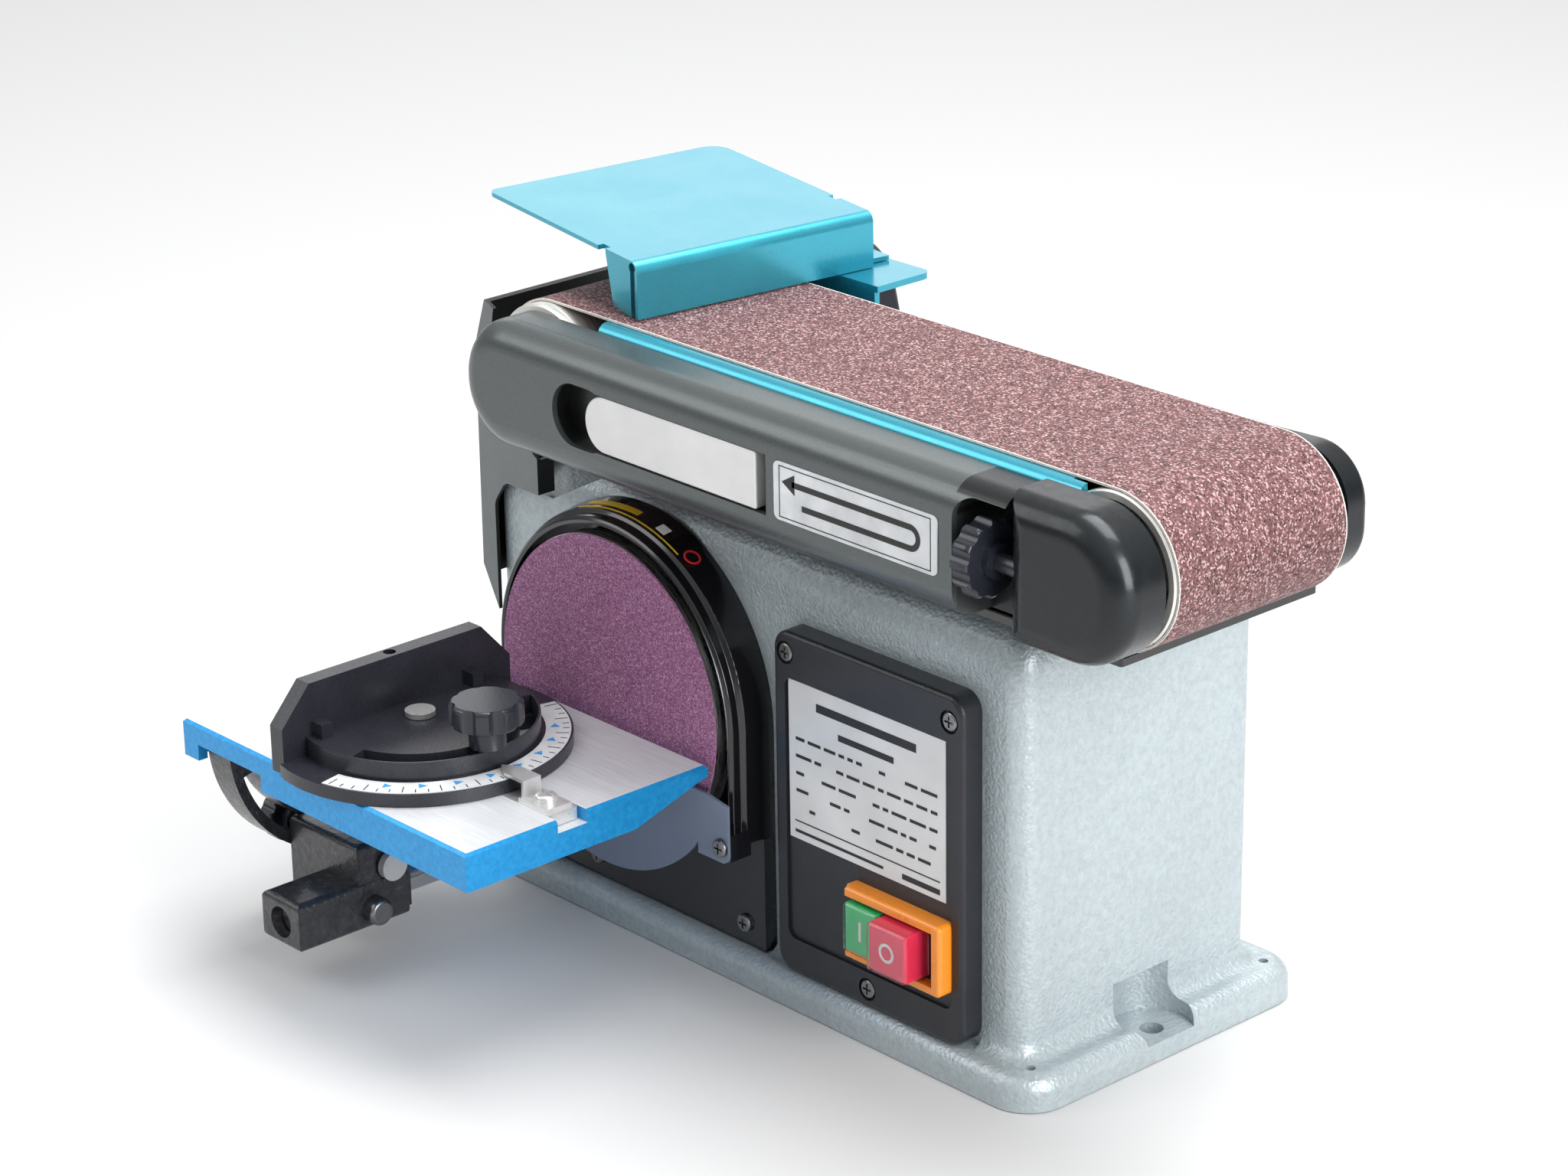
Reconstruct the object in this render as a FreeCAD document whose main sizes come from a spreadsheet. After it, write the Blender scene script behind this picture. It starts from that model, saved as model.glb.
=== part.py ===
"""Bench sander: a disc on the motor shaft and a belt on a tilting arm, over one hollow cast base.

Row frame: +X along the belt towards its free end, the disc faces -Y, +Z up.
The origin is midway between the two foot bolt holes, on the base's underside. Millimetres.
"""
import FreeCAD, Part
import Sketcher
import math
import os

V = FreeCAD.Vector
doc = FreeCAD.newDocument("BeltDiscSander")
sheet = doc.addObject("Spreadsheet::Sheet", "Dims")

DIMENSIONS = [
    ("base_len", 386.0, "flange length"),
    ("base_wid", 180.0, "flange width"),
    ("flange_thk", 16.0, "flange height"),
    ("body_left", 178.0, "origin to the left wall"),
    ("body_right", 174.0, "origin to the right wall"),
    ("body_front", 75.0, "origin to the front wall"),
    ("body_back", 72.0, "origin to the back wall"),
    ("base_top", 217.0, "base height"),
    ("wall", 7.0, "casting wall"),
    ("foot_x", 181.0, "origin to a foot bolt hole"),
    ("foot_rad", 5.5, "foot bolt hole radius"),
    ("pad_x", 180.0, "origin to a small corner hole, X"),
    ("pad_y", 75.0, "origin to a small corner hole, Y"),
    ("disc_x", -69.0, "disc axis, X"),
    ("disc_z", 125.0, "disc axis, Z"),
    ("disc_face", -100.0, "front of the abrasive disc, Y"),
    ("disc_rad", 75.0, "disc radius"),
    ("disc_thk", 10.0, "disc plate thickness"),
    ("paper_thk", 1.0, "abrasive disc thickness"),
    ("guard_rad", 79.0, "inside of the disc guard"),
    ("shaft_rad", 8.0, "motor shaft radius"),
    ("belt_wid", 100.0, "belt width"),
    ("belt_near", -93.5, "near edge of the belt, Y"),
    ("belt_in", 33.5, "inside radius of the belt at a drum"),
    ("belt_thk", 1.0, "belt thickness"),
    ("axis_z", 268.5, "drum axes, Z"),
    ("drive_x", -107.0, "drive drum axis, X"),
    ("idler_x", 243.2, "idler drum axis, X"),
    ("drum_rad", 33.2, "drum radius"),
    ("drum_shaft", 7.5, "drive drum shaft radius"),
    ("axle_rad", 6.0, "idler axle radius"),
    ("pulley_small", 16.5, "motor pulley radius"),
    ("pulley_large", 18.0, "drum pulley radius"),
    ("spigot_rad", 24.0, "spigot that the arm turns on"),
    ("cover_half", 30.0, "half height of the arm's side cover"),
    ("cover_front", -126.0, "front of the side cover, Y"),
    ("tilt_y", -166.0, "table tilt axis, Y"),
    ("tilt_z", 103.0, "table tilt axis, Z"),
    ("table_left", -206.0, "left end of the table, X"),
    ("table_len", 210.0, "table length"),
    ("table_front", -241.0, "front edge of the table, Y"),
    ("table_dep", 138.0, "table depth"),
    ("table_top", 112.0, "table top, Z"),
    ("table_thk", 6.0, "table plate thickness"),
    ("slot_wid", 17.0, "gauge slot width"),
    ("slot_y", -181.5, "gauge slot centre, Y"),
    ("rod_x", -140.0, "table rod axis, X"),
    ("rod_z", 30.0, "table rod axis, Z"),
    ("rod_rad", 7.5, "table rod radius"),
    ("gauge_x", -103.0, "gauge pivot, X"),
    ("gauge_rad", 69.0, "gauge head radius"),
    ("stop_len", 124.0, "work stop plate, along the belt"),
    ("stop_wid", 130.0, "work stop plate, across the belt"),
    ("stop_drop", 26.0, "work stop flange height"),
    ("stop_rise", 6.0, "work stop plate's rise towards its outer edge"),
    ("stop_yaw", -6.8, "work stop turned about its clamp screw, degrees"),
    ("run_gap", 0.05, "running clearance, radial"),
]
for row, (name, value, note) in enumerate(DIMENSIONS, 1):
    sheet.set("A%d" % row, name)
    sheet.set("B%d" % row, str(value))
    sheet.set("C%d" % row, note)
    sheet.setAlias("B%d" % row, name)
doc.recompute()


class Size:
    """A number together with the sheet expression that it comes from."""

    def __init__(self, value, text):
        self.value = float(value)
        self.text = text

    def join(self, other, sign, value, swap=False):
        right = other.text if isinstance(other, Size) else "%.6g" % other
        pair = (right, self.text) if swap else (self.text, right)
        return Size(value, "(%s %s %s)" % (pair[0], sign, pair[1]))

    def __add__(self, other):
        return self.join(other, "+", self.value + num(other))

    def __radd__(self, other):
        return self.join(other, "+", self.value + num(other), True)

    def __sub__(self, other):
        return self.join(other, "-", self.value - num(other))

    def __rsub__(self, other):
        return self.join(other, "-", num(other) - self.value, True)

    def __mul__(self, other):
        return self.join(other, "*", self.value * num(other))

    __rmul__ = __mul__

    def __truediv__(self, other):
        return self.join(other, "/", self.value / num(other))

    def __neg__(self):
        return Size(-self.value, "(0 - %s)" % self.text)


def num(value):
    """The plain number behind a size."""
    return value.value if isinstance(value, Size) else float(value)


def bind(obj, prop, value):
    """Ties a property to the sheet, or sets it where the value is a plain number."""
    if isinstance(value, Size):
        obj.setExpression(prop, value.text)
        return
    obj.setExpression(prop, "%.6g" % value)


class Sheet:
    pass


D = Sheet()
for name, value, note in DIMENSIONS:
    setattr(D, name, Size(value, "Dims." + name))

PLANES = {"XY": "XY_Plane", "XZ": "XZ_Plane", "YZ": "YZ_Plane"}
TURNS = {"X": FreeCAD.Rotation(V(0, 1, 0), 90), "Y": FreeCAD.Rotation(V(1, 0, 0), -90),
         "Z": FreeCAD.Rotation()}
NODES = []


def rect(u0, u1, v0, v1, r=0.0):
    """Corners of a rectangle, each with its corner radius."""
    return [(u0, v0, r), (u1, v0, r), (u1, v1, r), (u0, v1, r)]


def rounded_edges(points):
    """Line and arc geometry of a closed outline whose points may carry a corner radius."""
    pts = [(num(p[0]), num(p[1]), num(p[2]) if len(p) > 2 else 0.0) for p in points]
    count = len(pts)
    ends = []
    for i in range(count):
        here = V(pts[i][0], pts[i][1], 0)
        back = V(pts[i - 1][0], pts[i - 1][1], 0) - here
        ahead = V(pts[(i + 1) % count][0], pts[(i + 1) % count][1], 0) - here
        back.normalize()
        ahead.normalize()
        r = pts[i][2]
        if r <= 0:
            ends.append((here, here, None))
            continue
        half = back.getAngle(ahead) / 2
        run = r / math.tan(half)
        middle = back + ahead
        middle.normalize()
        centre = here + middle * (r / math.sin(half))
        start, stop = here + back * run, here + ahead * run
        ends.append((start, stop, centre - middle * r))
    out = []
    for i in range(count):
        start, stop, top = ends[i]
        if top is not None:
            out.append(Part.Arc(start, top, stop))
        nxt = ends[(i + 1) % count][0]
        if (nxt - stop).Length > 1e-6:
            out.append(Part.LineSegment(stop, nxt))
    return out


def join_ends(sk, one, two):
    """Ties the end that two sketch edges share."""
    for a in (2, 1):
        for b in (1, 2):
            if (sk.getPoint(one, a) - sk.getPoint(two, b)).Length < 1e-4:
                sk.addConstraint(Sketcher.Constraint("Coincident", one, a, two, b))
                return


class Node:
    """One piece: a PartDesign body whose features are tied to the sheet."""

    def __init__(self, label, at=(0.0, 0.0, 0.0), yaw=None):
        self.body = doc.addObject("PartDesign::Body", label)
        self.body.Label = label
        for axis, value in zip("xyz", at):
            bind(self.body, "Placement.Base." + axis, value)
        if yaw is not None:
            self.body.Placement.Rotation = FreeCAD.Rotation(V(0, 0, 1), num(yaw))
            bind(self.body, "Placement.Rotation.Angle", yaw)
        self.count = 0
        NODES.append(self.body)

    def feature(self, kind):
        self.count += 1
        return self.body.newObject("PartDesign::" + kind, "%s_%02d" % (self.body.Name, self.count))

    def box(self, x0, x1, y0, y1, z0, z1, cut=False):
        item = self.feature("SubtractiveBox" if cut else "AdditiveBox")
        for prop, low, high in (("Length", x0, x1), ("Width", y0, y1), ("Height", z0, z1)):
            bind(item, prop, high - low)
        for axis, value in zip("xyz", (x0, y0, z0)):
            bind(item, "Placement.Base." + axis, value)
        return self

    def cyl(self, axis, u, v, r, a0, a1, cut=False):
        """A cylinder along an axis; u and v are its place on the other two, in X, Y, Z order."""
        item = self.feature("SubtractiveCylinder" if cut else "AdditiveCylinder")
        bind(item, "Radius", r)
        bind(item, "Height", a1 - a0)
        item.Placement = FreeCAD.Placement(V(0, 0, 0), TURNS[axis])
        place = {"X": (a0, u, v), "Y": (u, a0, v), "Z": (u, v, a0)}[axis]
        for name, value in zip("xyz", place):
            bind(item, "Placement.Base." + name, value)
        return self

    def sketch(self, plane, offset, loops, circles=()):
        sk = self.body.newObject("Sketcher::SketchObject", self.body.Name + "_Sketch")
        role = PLANES[plane]
        origin = [o for o in self.body.Origin.OriginFeatures if o.Role == role][0]
        sk.AttachmentSupport = [(origin, "")]
        sk.MapMode = "FlatFace"
        bind(sk, "AttachmentOffset.Base.z", -offset if plane == "XZ" else offset)
        for loop in loops:
            edges = rounded_edges(loop)
            first = sk.addGeometry(edges[0], False)
            for edge in edges[1:]:
                sk.addGeometry(edge, False)
            for i in range(len(edges)):
                join_ends(sk, first + i, first + (i + 1) % len(edges))
        for u, v, r in circles:
            index = sk.addGeometry(Part.Circle(V(num(u), num(v), 0), V(0, 0, 1), num(r)), False)
            radius = sk.addConstraint(Sketcher.Constraint("Radius", index, num(r)))
            if isinstance(r, Size):
                sk.setExpression("Constraints[%d]" % radius, r.text)
        return sk

    def pad(self, plane, loops, a0, a1, cut=False, circles=()):
        """A prism between two heights along the plane's normal axis."""
        sk = self.sketch(plane, a0, loops, circles)
        item = self.feature("Pocket" if cut else "Pad")
        item.Profile = sk
        bind(item, "Length", a1 - a0)
        # a pad grows along the sketch's normal and a pocket against it; XZ's normal is -Y
        item.Reversed = (plane == "XZ") != cut
        return self

    def spin(self, axis, loop, cut=False, angle=360.0):
        """A turned shape. The outline is (radius, place along the axis)."""
        plane, line = {"Y": ("XY", "V_Axis"), "Z": ("XZ", "V_Axis"), "X": ("XY", "H_Axis")}[axis]
        pts = loop if axis != "X" else [(p[1], p[0]) + tuple(p[2:]) for p in loop]
        sk = self.sketch(plane, 0.0, [pts])
        item = self.feature("Groove" if cut else "Revolution")
        item.Profile = sk
        item.ReferenceAxis = (sk, [line])
        item.Angle = angle
        return self

    def fillet(self, r, pick, kind="Fillet"):
        doc.recompute()
        names = []
        for i, edge in enumerate(self.body.Tip.Shape.Edges, 1):
            if pick(edge):
                names.append("Edge%d" % i)
        base = self.body.Tip
        item = self.feature(kind)
        item.Base = (base, names)
        bind(item, "Radius" if kind == "Fillet" else "Size", r)
        return self

    def chamfer(self, size, pick):
        return self.fillet(size, pick, "Chamfer")


def near(a, b, tol=0.05):
    return abs(a - num(b)) < tol


def along(edge, axis):
    """True for a straight edge parallel to an axis."""
    if not isinstance(edge.Curve, Part.Line):
        return False
    way = edge.Curve.Direction
    return abs(abs(getattr(way, axis)) - 1) < 1e-6


def flat_at(edge, axis, value):
    """True for an edge that lies wholly at one value of an axis."""
    box = edge.BoundBox
    low, high = getattr(box, axis.upper() + "Min"), getattr(box, axis.upper() + "Max")
    return near(low, value) and near(high, value)


def round_edge(edge, axis_a, value_a, radius=None):
    ok = isinstance(edge.Curve, Part.Circle) and flat_at(edge, axis_a, value_a)
    return ok and (radius is None or near(edge.Curve.Radius, radius))


# ---------------------------------------------------------------- base and motor

def base_casting():
    n = Node("base_casting")
    half_l, half_w = D.base_len / 2, D.base_wid / 2
    n.pad("XY", [rect(-half_l, half_l, -half_w, half_w, 20.0)], 0.0, D.flange_thk)
    n.pad("XZ", [rect(-D.body_left, D.body_right, 10.0, D.base_top)], -D.body_front, D.body_back)
    n.fillet(10.0, lambda e: along(e, "z") and e.Length > 150)
    n.fillet(22.0, lambda e: flat_at(e, "z", D.base_top))
    n.fillet(8.0, lambda e: flat_at(e, "z", D.flange_thk) and (
        near(abs(e.BoundBox.YMin), half_w) and near(abs(e.BoundBox.YMax), half_w)))
    n.fillet(8.0, lambda e: flat_at(e, "z", D.flange_thk) and flat_at(e, "y", -D.body_front))
    n.pad("XZ", [[(-200.0, 196.0), (-134.0, 196.0), (-94.0, 218.0), (-94.0, 240.0), (-200.0, 240.0)]],
          -80.0, 8.0, cut=True)
    n.pad("XZ", [[(-D.body_left + D.wall, -1.0), (D.body_right - D.wall, -1.0),
                  (D.body_right - D.wall, 203.0), (-88.0, 203.0), (-128.0, 186.0),
                  (-D.body_left + D.wall, 186.0)]],
          -D.body_front + D.wall, D.body_back - D.wall, cut=True)
    for left, right in ((-157.0, 19.0), (30.0, 151.0)):
        n.box(left, right, -88.0, -D.body_front, D.flange_thk, 27.0, cut=True)
    n.box(150.0, 172.0, -27.0, 27.0, 0.0, 36.0)
    n.box(-176.0, -150.0, -27.0, 27.0, 0.0, 36.0)
    n.cyl("Y", D.rod_x, D.rod_z, 14.0, -D.body_front + 1.0, -30.0)
    n.cyl("Y", D.rod_x, D.rod_z, D.rod_rad, -80.0, -29.0, cut=True)
    for side in (-1.0, 1.0):
        n.cyl("Z", side * D.foot_x, 0.0, 19.0, 9.0, 34.0, cut=True)
        n.cyl("Z", side * D.foot_x, 0.0, D.foot_rad, -1.0, 10.0, cut=True)
    corners = [(sx * D.pad_x, sy * D.pad_y, 2.2) for sx in (-1, 1) for sy in (-1, 1)]
    n.pad("XY", [], -1.0, 30.0, cut=True, circles=corners)
    n.cyl("Y", D.disc_x, D.disc_z, 24.0, -80.0, 80.0, cut=True)
    n.box(78.0, 148.0, -80.0, -60.0, 36.0, 82.0, cut=True)
    n.pad("XZ", [], -D.body_front - 1.0, -68.0, cut=True,
          circles=[(x, z, 2.0) for x, z in PANEL_SCREWS + GUARD_SCREWS])
    for y in HOOD_SCREWS:
        n.cyl("X", y, 160.0, 2.5, -180.0, -165.0, cut=True)


PANEL_SCREWS = [(39.0, 172.0), (142.0, 170.0), (90.0, 25.5)]
GUARD_SCREWS = [(4.0, 27.0), (-100.0, 27.0)]
COVER_SCREWS = [(75.5, -50.5), (-75.5, -50.5)]
HOOD_SCREWS = [-45.0, 15.0]


def motor():
    at = (D.disc_x, 0.0, D.disc_z)
    Node("motor_housing", at).spin("Y", [
        (18.0, -68.0), (30.0, -68.0), (36.0, -64.0), (58.0, -58.0, 4.0), (58.0, 56.0, 4.0),
        (36.0, 62.0), (17.5, 62.0), (17.5, 51.0), (12.0, 51.0), (12.0, 46.0), (54.0, 46.0),
        (54.0, -46.0), (12.0, -46.0), (12.0, -51.0), (17.5, -51.0), (17.5, -62.0), (18.0, -62.0)])
    Node("stator_core", at).spin("Y", [(30.6, -38.0), (54.0, -38.0), (54.0, 38.0), (30.6, 38.0)])
    Node("rotor_core", at).spin("Y", [(8.0, -40.0), (30.2, -40.0), (30.2, 40.0), (8.0, 40.0)])
    n = Node("motor_shaft", at).cyl("Y", 0.0, 0.0, D.shaft_rad, -92.0, 97.0)
    n.chamfer(1.0, lambda e: round_edge(e, "y", 97.0))
    groove = D.pulley_small
    n = Node("motor_pulley", at).spin("Y", [
        (8.0, 77.0), (groove + 3, 77.0), (groove + 3, 79.0), (groove, 79.6), (groove, 93.4),
        (groove + 3, 94.0), (groove + 3, 96.0), (8.0, 96.0)])


def disc():
    at = (D.disc_x, D.disc_face, D.disc_z)
    n = Node("disc_plate", at)
    back = D.paper_thk + D.disc_thk
    n.cyl("Y", 0.0, 0.0, D.disc_rad, D.paper_thk, back)
    n.cyl("Y", 0.0, 0.0, 16.5, back, 37.5)
    n.cyl("Y", 0.0, 0.0, D.shaft_rad, 8.0, 39.0, cut=True)
    n.chamfer(0.8, lambda e: round_edge(e, "y", back, D.disc_rad))
    Node("disc_abrasive", at).cyl("Y", 0.0, 0.0, D.disc_rad - 0.2, 0.0, D.paper_thk)


def disc_guard():
    n = Node("disc_guard", (D.disc_x, 0.0, D.disc_z))
    r = D.guard_rad
    rim = [(r, -96.5), (r + 1.6, -97.0, 0.7), (r + 3.2, -96.0, 1.2), (r + 3.6, -92.0, 1.0),
           (r + 5.6, -90.5, 1.0), (r + 7.5, -78.0), (r + 7.5, -75.0), (r, -75.0)]
    n.spin("Y", rim, angle=180.0)
    n.body.Tip.Reversed = True
    n.pad("XY", [rim], -52.0, 0.0)
    n.pad("XY", [[(-num(p[0]),) + tuple(p[1:]) for p in rim][::-1]], -52.0, 0.0)
    n.pad("XZ", [[(-84.0, -54.0), (84.0, -54.0), (84.0, 0.0), (-84.0, 0.0)]], -78.0, -75.0)
    n.cyl("Y", 0.0, 0.0, r + 2, -78.0, -75.0)
    n.box(-86.5, 86.5, -82.0, -75.0, -108.5, -52.0)
    for side in (-1, 1):
        n.box(side * 79.0 if side > 0 else -86.5, 86.5 if side > 0 else -79.0,
              -102.3, -90.0, -57.0, -44.0)
    n.cyl("Y", 0.0, 0.0, 24.0, -79.0, -74.0, cut=True)
    n.cyl("Y", D.rod_x - D.disc_x, D.rod_z - D.disc_z, D.rod_rad + 0.6, -83.0, -74.0, cut=True)
    n.cyl("Y", 0.0, 0.0, D.guard_rad, -103.0, -90.0, cut=True)
    n.pad("XZ", [], -83.0, -74.0, cut=True,
          circles=[(x - D.disc_x, z - D.disc_z, 2.0) for x, z in GUARD_SCREWS])
    n.pad("XZ", [], -103.0, -93.0, cut=True, circles=[(x * 1.086, z, 2.0) for x, z in COVER_SCREWS])


def disc_cover():
    n = Node("disc_cover", (D.disc_x, 0.0, D.disc_z))
    n.cyl("Y", 0.0, 0.0, 84.5, -103.8, -102.3)
    n.box(-90.0, 90.0, -110.0, -100.0, -27.0, 90.0, cut=True)
    n.box(66.0, 86.5, -103.8, -102.3, -58.0, -27.0)
    n.box(-86.5, -66.0, -103.8, -102.3, -58.0, -27.0)
    n.pad("XZ", [[(66.5, -26.0), (87.0, -26.0), (87.0, -29.5)]], -105.0, -100.0, cut=True)
    n.fillet(4.0, lambda e: along(e, "y") and near(abs(e.BoundBox.XMin), 86.5)
             and near(e.BoundBox.ZMin, -58.0))
    n.pad("XZ", [], -105.0, -100.0, cut=True, circles=[(x * 1.086, z, 2.0) for x, z in COVER_SCREWS])


def screw_set(label, places):
    """Identical pan-head screws with a cross recess; each place is (axis, u, v, seat height)."""
    n = Node(label)
    for axis, u, v, seat in places:
        n.cyl(axis, u, v, 2.0, seat, seat + 10.0)
        n.cyl(axis, u, v, 4.4, seat - 2.2, seat)
    n.fillet(1.2, lambda e: isinstance(e.Curve, Part.Circle) and any(
        flat_at(e, p[0].lower(), p[3] - 2.2) for p in places) and near(e.Curve.Radius, 4.4))
    for axis, u, v, seat in places:
        for half_u, half_v in ((0.5, 2.6), (2.6, 0.5)):
            span = {"X": (seat - 2.3, seat - 1.0, u - half_u, u + half_u, v - half_v, v + half_v),
                    "Y": (u - half_u, u + half_u, seat - 2.3, seat - 1.0, v - half_v, v + half_v)}
            n.box(*span[axis], cut=True)
    return n


# ---------------------------------------------------------------- switch panel

def switch_panel():
    n = Node("switch_panel")
    n.pad("XZ", [rect(31.0, 150.0, 17.0, 182.0, 9.0)], -87.0, -D.body_front)
    n.fillet(2.5, lambda e: flat_at(e, "y", -87.0))
    n.pad("XZ", [rect(34.5, 146.5, 20.5, 178.5, 6.0)], -83.5, -D.body_front, cut=True)
    n.pad("XZ", [rect(38.5, 143.5, 34.0, 161.0, 5.0)], -87.5, -85.6, cut=True)
    n.pad("XZ", [], -85.0, -D.body_front, circles=[(x, z, 6.5) for x, z in PANEL_SCREWS])
    n.pad("XZ", [], -88.0, -85.0, cut=True, circles=[(x, z, 5.4) for x, z in PANEL_SCREWS])
    n.pad("XZ", [], -88.0, -70.0, cut=True, circles=[(x, z, 2.0) for x, z in PANEL_SCREWS])
    n.box(82.0, 144.0, -90.0, -80.0, 44.0, 74.0, cut=True)
    Node("rating_plate").box(40.0, 139.0, -86.1, -85.6, 84.0, 160.0)


def switch():
    n = Node("switch_frame")
    n.pad("XZ", [rect(80.5, 143.3, 42.0, 76.0, 2.5)], -94.5, -85.6)
    n.fillet(1.6, lambda e: flat_at(e, "y", -94.5))
    n.box(79.0, 138.5, -96.0, -85.0, 46.0, 72.0, cut=True)
    n.box(79.0, 84.0, -96.0, -90.0, 40.0, 78.0, cut=True)
    n = Node("switch_body").box(84.0, 138.5, -88.5, -52.0, 46.0, 72.0)
    n.box(86.1, 106.9, -90.0, -70.0, 47.4, 70.6, cut=True)
    n.box(107.7, 131.3, -90.0, -70.0, 47.4, 70.6, cut=True)
    n = Node("start_button").box(86.5, 106.5, -97.0, -76.0, 47.8, 70.2)
    n.fillet(1.2, lambda e: flat_at(e, "y", -97.0))
    n = Node("stop_button").box(108.1, 130.9, -103.0, -76.0, 47.8, 70.2)
    n.fillet(1.2, lambda e: flat_at(e, "y", -103.0))


# ---------------------------------------------------------------- belt drive

def arm_post():
    n = Node("arm_post", (D.drive_x, 0.0, 0.0))
    n.box(-30.0, 30.0, 23.0, 50.0, D.base_top, D.base_top + 9)
    n.box(-22.0, 22.0, 23.0, 50.0, D.base_top + 8, D.axis_z)
    n.cyl("Y", 0.0, D.axis_z, 30.0, 23.0, 50.0)
    n.cyl("Y", 0.0, D.axis_z, D.spigot_rad, 12.5, 23.0)
    n.cyl("Y", 0.0, D.axis_z, 24.0, 50.0, 73.0)
    n.cyl("Y", 0.0, D.axis_z, 12.0, 12.0, 74.0, cut=True)
    n.cyl("Y", 0.0, D.axis_z, 17.5, 12.0, 23.5, cut=True)
    n.cyl("Y", 0.0, D.axis_z, 17.5, 62.0, 74.0, cut=True)
    n = Node("shaft_bearings")
    places = [(D.drive_x, D.axis_z, D.drum_shaft, 12.5), (D.drive_x, D.axis_z, D.drum_shaft, 62.0),
              (D.disc_x, D.disc_z, D.shaft_rad, -62.0), (D.disc_x, D.disc_z, D.shaft_rad, 51.0)]
    for x, z, r, y in places:
        n.cyl("Y", x, z, 17.5, y, y + 11.0)
    for x, z, r, y in places:
        n.cyl("Y", x, z, r + D.run_gap, y - 1.0, y + 12.0, cut=True)


def drive_drum():
    at = (D.drive_x, 0.0, D.axis_z)
    n = Node("drum_shaft", at).cyl("Y", 0.0, 0.0, D.drum_shaft, -97.0, 97.0)
    n.chamfer(1.0, lambda e: flat_at(e, "y", 97.0))
    r = D.drum_rad
    Node("drive_drum", at).spin("Y", [
        (7.5, -95.0), (13.0, -95.0), (13.0, -62.0), (r - 3.6, -62.0), (r - 3.6, -99.5),
        (r - 0.8, -99.5), (r, -98.7), (r, 8.7), (r - 0.8, 9.5), (r - 3.6, 9.5), (r - 3.6, -30.0),
        (13.0, -30.0), (13.0, 9.5), (7.5, 9.5)])
    groove = D.pulley_large
    Node("drum_pulley", at).spin("Y", [
        (7.5, 77.0), (groove + 3, 77.0), (groove + 3, 79.0), (groove, 79.6), (groove, 93.4),
        (groove + 3, 94.0), (groove + 3, 96.0), (7.5, 96.0)])


def tangent_loop(r1, p2, r2, grow):
    """Outline of a belt round a circle at the origin and one at p2, as line and arc edges."""
    r1, r2 = r1 + grow, r2 + grow
    x, z = p2
    dist = math.hypot(x, z)
    lean = math.atan2(z, x)
    off = math.acos((r1 - r2) / dist)
    pts = []
    for cx, cz, r, turn in ((0, 0, r1, off), (x, z, r2, off), (x, z, r2, -off), (0, 0, r1, -off)):
        pts.append(V(cx + r * math.cos(lean + turn), 0, cz + r * math.sin(lean + turn)))
    far = V(x + r2 * math.cos(lean), 0, z + r2 * math.sin(lean))
    back = V(-r1 * math.cos(lean), 0, -r1 * math.sin(lean))
    edges = [Part.LineSegment(pts[0], pts[1]).toShape(), Part.Arc(pts[1], far, pts[2]).toShape(),
             Part.LineSegment(pts[2], pts[3]).toShape(), Part.Arc(pts[3], back, pts[0]).toShape()]
    return Part.Wire(edges)


def drive_belt():
    """The pulley belt: no feature draws a band tangent to two unequal pulleys directly."""
    p2 = (num(D.drive_x) - num(D.disc_x), num(D.axis_z) - num(D.disc_z))
    small, large = num(D.pulley_small), num(D.pulley_large)
    outer = Part.Face(tangent_loop(small, p2, large, 2.8))
    inner = Part.Face(tangent_loop(small, p2, large, 0.3))
    band = outer.extrude(V(0, 12, 0)).cut(inner.extrude(V(0, 12, 0)))
    item = doc.addObject("Part::Feature", "drive_belt")
    item.Label = "drive_belt"
    item.Shape = band
    item.Placement = FreeCAD.Placement(V(num(D.disc_x), 80.5, num(D.disc_z)), FreeCAD.Rotation())
    NODES.append(item)


def hull_prism(label, grow, y0, y1, inner=None, holes=()):
    p2 = (num(D.drive_x) - num(D.disc_x), num(D.axis_z) - num(D.disc_z))
    small, large = num(D.pulley_small), num(D.pulley_large)
    solid = Part.Face(tangent_loop(small, p2, large, grow)).extrude(V(0, y1 - y0, 0))
    if inner:
        core = Part.Face(tangent_loop(small, p2, large, grow - inner)).extrude(V(0, y1 - y0, 0))
        core.translate(V(0, -inner, 0))
        outer_edges = [e for e in solid.Edges if near(e.BoundBox.YMin, y1 - y0) and near(e.BoundBox.YMax, y1 - y0)]
        solid = solid.makeFillet(5.0, outer_edges).cut(core)
    for x, z, r in holes:
        solid = solid.cut(Part.makeCylinder(r, 40, V(x, -5, z), V(0, 1, 0)))
    item = doc.addObject("Part::Feature", label)
    item.Label = label
    item.Shape = solid
    item.Placement = FreeCAD.Placement(V(num(D.disc_x), y0, num(D.disc_z)), FreeCAD.Rotation())
    NODES.append(item)


def pulley_case():
    dx, dz = num(D.drive_x) - num(D.disc_x), num(D.axis_z) - num(D.disc_z)
    hull_prism("case_plate", 7.0, 73.0, 75.0, holes=[(0, 0, 18), (dx, dz, 18)])
    hull_prism("pulley_case", 7.0, 75.0, 100.0, inner=2.5)


# ---------------------------------------------------------------- belt arm

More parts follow.
